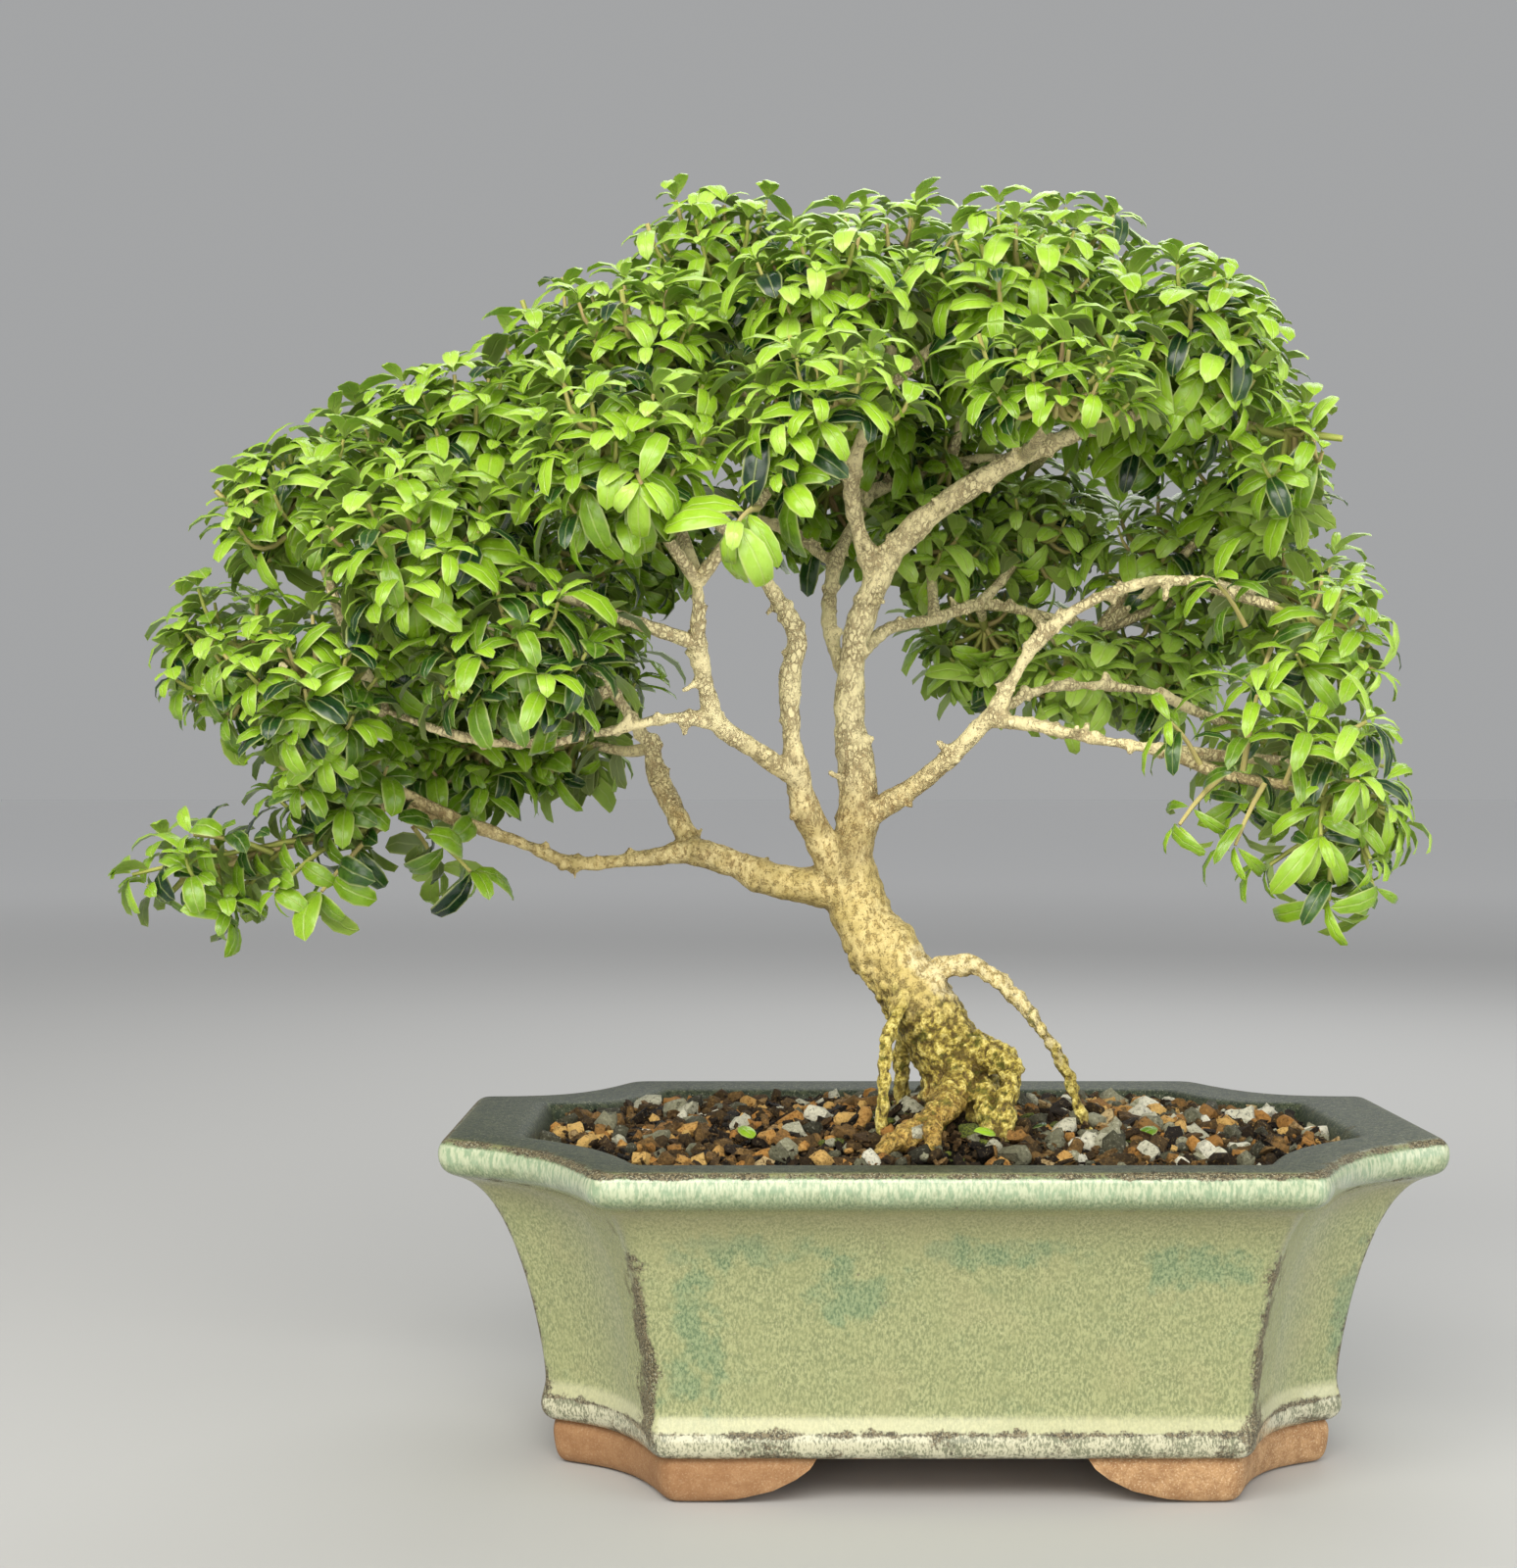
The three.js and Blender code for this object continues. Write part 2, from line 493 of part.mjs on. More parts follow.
// A leafy spray: its stem, a small core of crowded twigs, and pairs of leaves that stand out of it.
function sprayBody(entry, others) {
  const { centre, along, core, tip } = sprayStem(entry);
  const reach = new THREE.Vector3(...entry[4]);
  const foot = tip.clone().addScaledVector(along, clearance);
  const stemPoints = [foot, centre].map((p) => [...p, spray.stemRadius]);
  const parts = [limb({ points: stemPoints, sides: 3, steps: 1 }), heart(entry, 1.1)];
  const random = seeded(Math.round(1000 + 7 * centre.x + 13 * centre.y + 17 * centre.z));
  const wanted = reach.x < spray.fullReach ? spray.smallLeaves : spray.fullLeaves;
  let placed = 0;
  for (const direction of shootDirections(centre)) {
    const surface = direction.clone().multiply(core);
    const root = centre.clone().addScaledVector(surface, 1 - leaf.sunk / surface.length());
    const free = reach.clone().multiply(direction).length();
    const room = (free - surface.length()) * 1.25;
    const length = leaf.sunk + THREE.MathUtils.clamp(room, leaf.shortest, leaf.length);
    const face = Math.abs(direction.z) > 0.8
      ? new THREE.Vector3(Math.cos(centre.y), Math.sin(centre.y), 0)
      : up.clone();
    face.addScaledVector(direction, -face.dot(direction)).normalize();
    const axis = new THREE.Vector3().crossVectors(direction, face);
    for (const turn of [-1, 1]) {
      const angle = turn * (0.7 + 0.3 * random());
      const rise = 0.25 * random();
      const heading = direction.clone().applyAxisAngle(face, angle).applyAxisAngle(axis, rise);
      const normal = face.clone().addScaledVector(heading, -face.dot(heading)).normalize();
      const probe = blade(root, heading, normal, length, clearance);
      if (placed < wanted && !others.some((other) => crosses(probe, other))) {
        parts.push(blade(root, heading, normal, length));
        placed += 1;
      }
    }
  }
  return outerBody(union(parts));
}

function crosses(a, b) {
  const [p, q] = [a.boundingBox(), b.boundingBox()];
  for (let i = 0; i < 3; i += 1) {
    if (p.min[i] > q.max[i] || q.min[i] > p.max[i]) return false;
  }
  return a.intersect(b).volume() > 0;
}

// The assembly

const bonsai = new THREE.Group();
const names = Object.keys(limbs);
const rooted = names.filter((name) => name === 'trunk' || name.startsWith('root'));
const wood = outerBody(union([...names.map((name) => limb(limbs[name])), ...sprays.map(twig)]));
const rootHoles = union(rooted.map((name) => limb(limbs[name], clearance)));

bonsai.add(mesh('pot', potBody(), colours.glaze, 0.3));
bonsai.add(mesh('drain_screen_left', drainScreen(-pot.drainX), colours.plastic, 0.6));
bonsai.add(mesh('drain_screen_right', drainScreen(pot.drainX), colours.plastic, 0.6));
bonsai.add(mesh('soil', soilBody(rootHoles), colours.soil, 0.95));
bonsai.add(mesh('tree_wood', wood, colours.bark, 0.85));

// Each spray's leaves keep clear of the wood, of the other sprays' cores and of the leaves grown so far.
const keepClear = sprays.map((entry) => heart(entry, 1.15));
sprays.forEach((entry, i) => {
  const others = [wood, ...keepClear.filter((_, j) => j !== i)];
  const body = sprayBody(entry, others);
  keepClear[i] = body;
  bonsai.add(mesh(`spray_${entry[0]}`, body, colours.leaf, 0.45));
});

const box = new THREE.Box3().setFromObject(bonsai, true);
bonsai.position.set(-(box.min.x + box.max.x) / 2, -(box.min.y + box.max.y) / 2, -box.min.z);

export default bonsai;
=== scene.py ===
# A small boxwood bonsai in a green glazed pot: its looks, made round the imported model.

import contextlib
import math
import random

import bpy
import numpy as np
from mathutils import Matrix, Vector, kdtree, noise


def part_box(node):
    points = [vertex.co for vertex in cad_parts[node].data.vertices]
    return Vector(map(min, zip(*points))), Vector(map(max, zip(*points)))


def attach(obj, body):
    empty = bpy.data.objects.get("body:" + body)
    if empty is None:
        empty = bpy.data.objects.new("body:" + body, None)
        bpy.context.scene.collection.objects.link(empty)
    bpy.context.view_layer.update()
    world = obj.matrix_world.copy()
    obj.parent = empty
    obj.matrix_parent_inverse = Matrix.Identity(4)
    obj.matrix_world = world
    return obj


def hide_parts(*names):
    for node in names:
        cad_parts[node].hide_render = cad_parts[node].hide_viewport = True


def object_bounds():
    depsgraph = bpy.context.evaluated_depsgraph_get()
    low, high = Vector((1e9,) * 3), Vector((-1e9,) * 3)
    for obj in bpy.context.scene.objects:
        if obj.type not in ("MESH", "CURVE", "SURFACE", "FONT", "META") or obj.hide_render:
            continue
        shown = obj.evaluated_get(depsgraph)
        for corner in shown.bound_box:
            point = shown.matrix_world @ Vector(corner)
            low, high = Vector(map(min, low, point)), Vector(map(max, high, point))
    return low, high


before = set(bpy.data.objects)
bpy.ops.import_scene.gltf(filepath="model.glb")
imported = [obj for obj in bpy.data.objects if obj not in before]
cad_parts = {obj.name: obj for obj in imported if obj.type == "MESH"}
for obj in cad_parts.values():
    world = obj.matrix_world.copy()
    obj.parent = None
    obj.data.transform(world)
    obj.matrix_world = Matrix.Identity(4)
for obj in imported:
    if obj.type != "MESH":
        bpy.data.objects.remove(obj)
cadLow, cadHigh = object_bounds()
mm = 0.001
up = Vector((0, 0, 1))
goldenAngle = math.pi * (3 - math.sqrt(5))

potLow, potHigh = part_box("pot")
potMiddle = Vector(((potLow.x + potHigh.x) / 2, (potLow.y + potHigh.y) / 2, 0))


def place(x, y, z):  # millimetres from the middle of the pot's foot line, as the part is laid out
    return potMiddle + Vector((x, y, z)) * mm


# The camera and the light

cameraSet = {"x": -28, "y": -377, "z": 104, "lens": 53.775}

lightSet = {
    # millimetres from the middle of the pot's foot line, metres wide and high, and watts
    "key": {"at": (-210, -560, 540), "size": (0.85, 0.34), "power": 6.3, "colour": (1, 0.97, 0.9)},
    "front": {"at": (-160, -800, 110), "size": (0.5, 0.5), "power": 2.9, "colour": (1, 0.97, 0.9)},
    "fill": {"at": (620, -420, 260), "size": (0.7, 0.7), "power": 3.3, "colour": (0.98, 0.98, 0.98)},
    "back": {"at": (160, 520, 620), "size": (0.6, 0.6), "power": 2.4, "colour": (1, 1, 1)},
    "sky": (0.88, 0.89, 0.9), "skyStrength": 0.42, "target": (-20, 0, 110),
}


def addCamera():
    spot = place(cameraSet["x"], cameraSet["y"], cameraSet["z"])
    bpy.ops.object.camera_add(location=spot, rotation=(math.radians(90), 0, 0))
    camera = bpy.context.object
    camera.name = "frontCamera"
    camera.data.lens = cameraSet["lens"]
    camera.data.clip_start = 0.01
    bpy.context.scene.camera = camera


def addLights():
    target = place(*lightSet["target"])
    for name in ("key", "front", "fill", "back"):
        values = lightSet[name]
        spot = place(*values["at"])
        bpy.ops.object.light_add(type="AREA", location=spot)
        lamp = bpy.context.object
        lamp.name = name + "Light"
        lamp.data.shape = "RECTANGLE"
        lamp.data.size, lamp.data.size_y = values["size"]
        lamp.data.energy = values["power"]
        lamp.data.color = values["colour"]
        lamp.rotation_euler = (target - spot).to_track_quat("-Z", "Y").to_euler()
    world = bpy.data.worlds.new("studio")
    bpy.context.scene.world = world
    world.use_nodes = True
    sky = world.node_tree.nodes["Background"]
    sky.inputs["Color"].default_value = (*lightSet["sky"], 1)
    sky.inputs["Strength"].default_value = lightSet["skyStrength"]


addCamera()
addLights()
bpy.context.scene.view_settings.view_transform = "Standard"
print("camera and lights are set")


# Shader maths: a socket that can be added, multiplied and taken away like a number

class Socket:
    def __init__(self, paint, end):
        self.paint, self.end = paint, end

    def __add__(self, other):
        return self.paint.maths("ADD", self, other)

    def __sub__(self, other):
        return self.paint.maths("SUBTRACT", self, other)

    def __rsub__(self, other):
        return self.paint.maths("SUBTRACT", other, self)

    def __mul__(self, other):
        return self.paint.maths("MULTIPLY", self, other)

    __radd__, __rmul__ = __add__, __mul__


class Paint:
    def __init__(self, name):
        self.material = bpy.data.materials.new(name)
        self.material.use_nodes = True
        self.tree = self.material.node_tree
        self.shader = self.tree.nodes["Principled BSDF"]
        self.place = self.node("ShaderNodeTexCoord", {}, {}, "Object")
        self.height = self.node("ShaderNodeSeparateXYZ", {}, {"Vector": self.place}, "Z")

    def node(self, kind, settings, inputs, output=0):
        made = self.tree.nodes.new(kind)
        for name, value in settings.items():
            if name == "stops":
                self.setStops(made.color_ramp, value)
            else:
                setattr(made, name, value)
        for name, value in inputs.items():
            self.feed(made.inputs[name], value)
        return Socket(self, made.outputs[output])

    def feed(self, entry, value):
        if isinstance(value, Socket):
            self.tree.links.new(value.end, entry)
        else:
            entry.default_value = value

    def setStops(self, ramp, stops):
        while len(ramp.elements) < len(stops):
            ramp.elements.new(0.5)
        for element, (position, colour) in zip(ramp.elements, stops):
            element.position = position
            element.color = (*colour, 1)

    def maths(self, operation, first, second=0):
        return self.node("ShaderNodeMath", {"operation": operation}, {0: first, 1: second})

    def noise(self, size, detail, rough, stretch=(1, 1, 1)):
        spread = self.node("ShaderNodeMapping", {}, {"Vector": self.place, "Scale": stretch})
        values = {"Vector": spread, "Scale": 1 / (size * mm), "Detail": detail, "Roughness": rough}
        return self.node("ShaderNodeTexNoise", {}, values, "Fac")

    def net(self, size, stretch, sway):  # how deep a point lies inside the cells of an uneven net
        spread = self.node("ShaderNodeMapping", {}, {"Vector": self.place, "Scale": stretch})
        values = {"Vector": spread, "Scale": 1 / (size * 0.7 * mm)}
        push = self.node("ShaderNodeTexNoise", {}, values, "Color")
        push = self.node("ShaderNodeVectorMath", {"operation": "SCALE"}, {0: push, "Scale": sway * mm})
        spread = self.node("ShaderNodeVectorMath", {"operation": "ADD"}, {0: spread, 1: push})
        values = {"Vector": spread, "Scale": 1 / (size * mm)}
        return self.node("ShaderNodeTexVoronoi", {"feature": "DISTANCE_TO_EDGE"}, values, "Distance")

    def trait(self, name, part=None):
        if part is None:
            return self.node("ShaderNodeAttribute", {"attribute_name": name}, {}, "Fac")
        colour = self.node("ShaderNodeAttribute", {"attribute_name": name}, {}, "Color")
        return self.node("ShaderNodeSeparateColor", {}, {"Color": colour}, part)

    def between(self, value, low, high):  # 0 at low and 1 at high, which may be the smaller of the two
        values = {"Value": value, "From Min": low, "From Max": high}
        return self.node("ShaderNodeMapRange", {"interpolation_type": "SMOOTHSTEP"}, values)

    def mix(self, share, first, second):
        first = first if isinstance(first, Socket) else (*first, 1)
        second = second if isinstance(second, Socket) else (*second, 1)
        return self.node("ShaderNodeMix", {"data_type": "RGBA"}, {0: share, 6: first, 7: second}, 2)

    def ramp(self, value, stops):
        return self.node("ShaderNodeValToRGB", {"stops": stops}, {"Fac": value})

    def layered(self, base, *layers):  # colours laid over a base, each given as its share and itself
        for share, colour in layers:
            base = self.mix(share, base, colour)
        return base

    def risen(self, low, high, cloud=None, reach=0):  # between two heights in mm, which a cloud makes uneven
        height = self.height if cloud is None else self.height + (cloud - 0.5) * (reach * mm)
        return self.between(height, low * mm, high * mm)

    def relief(self, height, distance):
        values = {"Height": height, "Distance": distance * mm}
        self.feed(self.shader.inputs["Normal"], self.node("ShaderNodeBump", {}, values))

    def finish(self, inputs):
        for name, value in inputs.items():
            self.feed(self.shader.inputs[name], value)
        return self.material


# Small helpers for pieces

def onlySelect(piece):
    bpy.ops.object.select_all(action="DESELECT")
    piece.select_set(True)
    bpy.context.view_layer.objects.active = piece


def added(operation, location=(0, 0, 0), **values):  # a new piece, selected alone
    bpy.ops.object.select_all(action="DESELECT")
    operation(location=location, **values)
    return bpy.context.object


@contextlib.contextmanager
def editing(piece):  # edit mode, with every point selected
    onlySelect(piece)
    bpy.ops.object.mode_set(mode="EDIT")
    bpy.ops.mesh.select_all(action="SELECT")
    yield
    bpy.ops.object.mode_set(mode="OBJECT")


def faceOutwards(piece):
    with editing(piece):
        bpy.ops.mesh.normals_make_consistent(inside=False)


def modified(piece, kind, **values):  # changed for good by one modifier
    onlySelect(piece)
    modifier = piece.modifiers.new(kind, kind)
    for name, value in values.items():
        setattr(modifier, name, value)
    bpy.ops.object.modifier_apply(modifier=modifier.name)


def cutAway(piece, cutter):
    modified(piece, "BOOLEAN", operation="DIFFERENCE", solver="EXACT", object=cutter)
    bpy.data.objects.remove(cutter)


def joined(pieces):
    onlySelect(pieces[0])
    for piece in pieces[1:]:
        piece.select_set(True)
    bpy.ops.object.join()
    return bpy.context.object


def settle(piece, name, material, nodes=(), angle=None):
    onlySelect(piece)
    bpy.ops.object.transform_apply(location=True, rotation=True, scale=True)
    if angle:
        bpy.ops.object.shade_smooth_by_angle(angle=math.radians(angle))
    piece.name = name
    piece.data.name = name
    piece.data.materials.clear()
    piece.data.materials.append(material)
    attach(piece, "root")
    if nodes:
        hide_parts(*nodes)
    return piece


def setMarks(mesh, marks):  # a colour attribute on the points, which the paint reads
    layer = mesh.attributes.new("marks", "FLOAT_COLOR", "POINT")
    layer.data.foreach_set("color", np.asarray(marks, np.float32).ravel())


def setValues(mesh, name, values):  # a number on every point, which the paint reads
    mesh.attributes.new(name, "FLOAT", "POINT").data.foreach_set("value", values)


def nearestOf(samples):  # finds which sample is nearest to a point
    tree = kdtree.KDTree(len(samples))
    for i, sample in enumerate(samples):
        tree.insert(Vector(sample[:3]), i)
    tree.balance()
    return tree


def templateOf(piece):  # the points and faces of a shape that is then copied many times
    points = np.array([tuple(vertex.co) for vertex in piece.data.vertices])
    faces = [tuple(face.vertices) for face in piece.data.polygons]
    bpy.data.objects.remove(piece)
    return points, faces


def fromCopies(name, copies, marks):  # one mesh of many copies, each given as its points and faces
    points, faces, start = [], [], 0
    for copyPoints, copyFaces in copies:
        points.append(copyPoints)
        faces.extend(tuple(start + index for index in face) for face in copyFaces)
        start += len(copyPoints)
    mesh = bpy.data.meshes.new(name)
    mesh.from_pydata(np.concatenate(points).tolist(), [], faces)
    setMarks(mesh, np.concatenate(marks))
    piece = bpy.data.objects.new(name, mesh)
    bpy.context.scene.collection.objects.link(piece)
    return piece


def smoothRoute(points, spacing):  # a Catmull-Rom curve through points of x, y, z and radius
    points = [Vector(point) for point in points]
    ends = [points[0] * 2 - points[1], *points, points[-1] * 2 - points[-2]]
    route = []
    for i in range(1, len(ends) - 2):
        before, first, second, after = ends[i - 1:i + 3]
        steps = max(2, round((second - first).length / spacing))
        for j in range(steps):
            t = j / steps
            route.append(0.5 * (2 * first + (second - before) * t
                                + (2 * before - 5 * first + 4 * second - after) * t ** 2
                                + (3 * first - before - 3 * second + after) * t ** 3))
    return route + [points[-1]]


def tubes(routes, roundness):  # round stems along routes of x, y, z and radius, as one mesh
    piece = added(bpy.ops.curve.primitive_nurbs_path_add)
    shape = piece.data
    shape.splines.clear()
    shape.dimensions = "3D"
    shape.bevel_depth = mm
    shape.bevel_resolution = roundness
    shape.use_fill_caps = True
    for route in routes:
        spline = shape.splines.new("POLY")
        spline.points.add(len(route) - 1)
        for knot, (x, y, z, radius) in zip(spline.points, route):
            knot.co = (*place(x, y, z), 1)
            knot.radius = radius
    onlySelect(piece)
    bpy.ops.object.convert(target="MESH")
    return bpy.context.object


# The floor

floorSet = {"size": 30, "near": (0.5, 0.5, 0.49), "far": (0.97, 0.97, 0.97), "from": 0.25, "to": 2.2}


def addFloor():
    floor = added(bpy.ops.mesh.primitive_plane_add, size=floorSet["size"])
    floor.name = "floor"
    paint = Paint("paleFloor")
    away = paint.node("ShaderNodeVectorMath", {"operation": "LENGTH"}, {0: paint.place}, "Value")
    # painted light: the floor is paler the further it lies from the middle, so that far off it is as bright as
    # the sky
    paler = paint.between(away, floorSet["from"], floorSet["to"])
    colour = paint.mix(paler, floorSet["near"], floorSet["far"])
    floor.data.materials.append(paint.finish({"Base Color": colour, "Roughness": 0.75}))


addFloor()


# The pot

potSet = {
    # rows of height, half length, half width, half of the straight long side and of the straight short
    # side, and how strongly the row is a worn edge, the rim's top and the pale lip, where it is any of them
    "outside": [
        (6.6, 58.8, 39, 41.7, 18.3, 0.5, 0, 0),
        (6.8, 59.9, 40, 42.3, 18.7, 0.75, 0, 0),
        (7.6, 60.9, 40.9, 42.9, 19.1, 0.48, 0, 0),
        (8.8, 61.4, 41.3, 43.1, 19.3, 0.36, 0, 0),
        (9.9, 61.3, 41.2, 43.1, 19.3, 0.22, 0, 0),
        (10.6, 61.1, 40.9, 43.6, 19.2, 0.9, 0, 0),
        (11.1, 61, 40.8, 43.6, 19.2, 0.45, 0, 0),
        (12.2, 60.7, 40.4, 43.5, 19.1),
        (13.8, 60.6, 40.1, 43.4, 19),
        (20, 61.5, 40.8, 43.8, 19.3),
        (29, 63.5, 42.2, 44.8, 20),
        (37, 66.4, 44.3, 46.3, 20.9),
        (41.4, 69.1, 46.5, 47.7, 21.9),
        (43.8, 71.8, 48.4, 49, 22.8),
        (44.5, 74.5, 50.2, 50.3, 23.5, 0.36, 0, 0.3),
        (45.2, 75.8, 51.1, 51.1, 24, 0, 0, 0.5),
        (46.5, 76.5, 51.6, 51.5, 24.2, 0, 0, 0.75),
        (47.9, 76.6, 51.6, 51.5, 24.2, 0, 0, 1),
        (48.7, 76.35, 51.4, 51.35, 24.1, 0.1, 0, 1),
        (49.2, 75.95, 51.1, 51.1, 23.95, 0.9, 0, 0.4),
        (49.6, 75.4, 50.7, 50.8, 23.75, 1, 0.1, 0),
        (49.85, 74.8, 50.2, 50.4, 23.5, 0.2, 0.9, 0),
        (49.9, 73.6, 49.2, 49.8, 23, 0.1, 1, 0),
        (49.8, 69, 45.4, 47.8, 21, 0, 1, 0),
        (49.6, 65.2, 42.2, 46, 19.3, 0, 1, 0),
        (49.2, 63.9, 41.1, 45.4, 18.8, 0.3, 1, 0),
        (47.8, 63, 40.3, 44.9, 18.4, 0.1, 1, 0),
        (44.5, 61.9, 39.4, 44.3, 17.9, 0, 1, 0),
        (30, 58.4, 36.9, 41.8, 16.6, 0, 1, 0),
        (14, 55.2, 34.8, 39.4, 15.4, 0, 1, 0),
        (12, 52.5, 32.4, 37.8, 14, 0, 1, 0),
        (12, 30, 18, 24, 8, 0, 1, 0),
    ],
    "feet": [
        (0, 57.4, 37.7, 40.5, 17.5),
        (0.4, 58.4, 38.6, 41.1, 17.9),
        (1.6, 59.1, 39.2, 41.7, 18.4),
        (4, 59.5, 39.5, 42, 18.5),
        (7.8, 59.7, 39.7, 42.1, 18.6),
        (7.8, 50, 30.5, 36, 12.4),
        (4, 50.5, 31, 36.3, 12.7),
        (0.4, 51.3, 31.8, 36.9, 13.3),
        (0, 52, 32.5, 37.3, 13.8),
    ],
    # the indented corner from the long side's end (0, 0) to the short side's end (1, 1), and the wear there
    "corner": [(-0.12, 0, 0), (-0.05, 0.006, 0.5), (0.005, 0.035, 1), (0.05, 0.115, 0.76), (0.11, 0.25, 0.4),
               (0.22, 0.455, 0), (0.37, 0.65, 0), (0.58, 0.82, 0), (0.82, 0.93, 0), (0.965, 0.985, 0.3),
               (1, 1.02, 1), (1, 1.12, 0.1)],
    # the heights between which the corners' wear fades, and how worn they are in the bend of the lip and where
    # the rim turns over
    "wearTop": (45, 34), "lipBend": (44.4, 44.6), "rimTurn": 49, "lipWear": 0.62,
    # where the glaze ran teal on the long sides: the middle's x and z, and half the width and height
    "tealRuns": [(-15, 31, 7, 6.5), (-37.5, 24, 5, 13), (-31, 38, 12, 3), (34, 35, 10, 4), (6, 37, 13, 3),
                 (63, 22, 5, 12)],
    # how far the rim's tips rise above its sides, and from what height on they do
    "tipLift": 0.8, "liftFrom": 40,
    "frontArch": [(40, -1), (37, 0), (31, 0.7), (26, 2), (22.6, 3.7), (20.6, 5.2), (19.6, 6.6), (19.2, 9)],
    "sideArch": [(15, -1), (13.5, 0), (11.4, 0.7), (9.6, 2), (8.3, 3.7), (7.5, 5.2), (6.9, 6.6), (6.6, 9)],
    "archReach": 90, "drainX": 26, "drainRadius": 5.5,
}


def potRing(row):  # one level of the pot, anticlockwise from the middle of its back
    height, length, width, front, side, wear, rim, lip = (*row, 0, 0, 0)[:8]
    (wearTop, wearFull), (bendLow, bendHigh) = potSet["wearTop"], potSet["lipBend"]
    fade = min(1, max(0, (height - wearTop) / (wearFull - wearTop)))
    raised = potSet["tipLift"] * max(0, (height - potSet["liftFrom"]) / 10)
    quarter = [(front * x, width, height, wear, rim, lip) for x in (0.18, 0.55)]
    for u, v, edge in potSet["corner"]:
        x, y = front + (length - front) * u, width + (side - width) * v
        bared = 0 < u < 0.9 and (bendLow < height < bendHigh or height > potSet["rimTurn"] and rim < 1)
        edge = potSet["lipWear"] if bared else edge
        bare = max(wear, edge * min(1, max(fade, bared)))
        quarter.append((x, y, height + raised * max(0, u) ** 2, bare, rim, lip))
    quarter.append((length, side * 0.35, height + raised, wear, rim, lip))

    def turned(points, flipX, flipY):
        return [(x * flipX, y * flipY, *rest) for x, y, *rest in points]

    back = quarter[::-1]
    return turned(quarter, -1, 1) + turned(back, -1, -1) + turned(quarter, 1, -1) + turned(back, 1, 1)


def drawnUp(rings, looped=False):  # a body drawn up ring by ring, closed at its ends or joined end to end
    count = len(rings[0])
    piece = added(bpy.ops.mesh.primitive_circle_add, vertices=count, radius=0.06, fill_type="NOTHING")
    with editing(piece):
        for _ in rings[1:]:
            bpy.ops.mesh.extrude_region_move(TRANSFORM_OT_translate={"value": (0, 0, 2 * mm)})
        if looped:
            bpy.ops.mesh.select_all(action="SELECT")
            bpy.ops.mesh.region_to_loop()
            bpy.ops.mesh.bridge_edge_loops()
        else:
            bpy.ops.mesh.edge_face_add()
            bpy.ops.mesh.select_all(action="DESELECT")
            bpy.ops.object.mode_set(mode="OBJECT")
            for vertex in piece.data.vertices:
                vertex.select = vertex.index < count
            bpy.ops.object.mode_set(mode="EDIT")
            bpy.ops.mesh.edge_face_add()
    flat = [point for ring in rings for point in ring]
    for vertex, (x, y, z, *_) in zip(piece.data.vertices, flat):
        vertex.co = place(x, y, z)
    if len(flat[0]) > 3:
        setMarks(piece.data, [(*point[3:6], 1) for point in flat])
    faceOutwards(piece)
    return piece


def archCutter(profile, alongX):  # the space under one side, drawn flat and pushed through below the pot
    outline = [(-x, z) for x, z in profile] + [(x, z) for x, z in reversed(profile)]
    cutter = added(bpy.ops.mesh.primitive_circle_add, vertices=len(outline), radius=0.05, fill_type="NGON")
    far = potSet["archReach"]
    for vertex, (x, z) in zip(cutter.data.vertices, outline):
        vertex.co = place(-far, x, z) if alongX else place(x, -far, z)
    through = (2 * far * mm, 0, 0) if alongX else (0, 2 * far * mm, 0)
    with editing(cutter):
        bpy.ops.mesh.extrude_region_move(TRANSFORM_OT_translate={"value": through})
    faceOutwards(cutter)
    return cutter


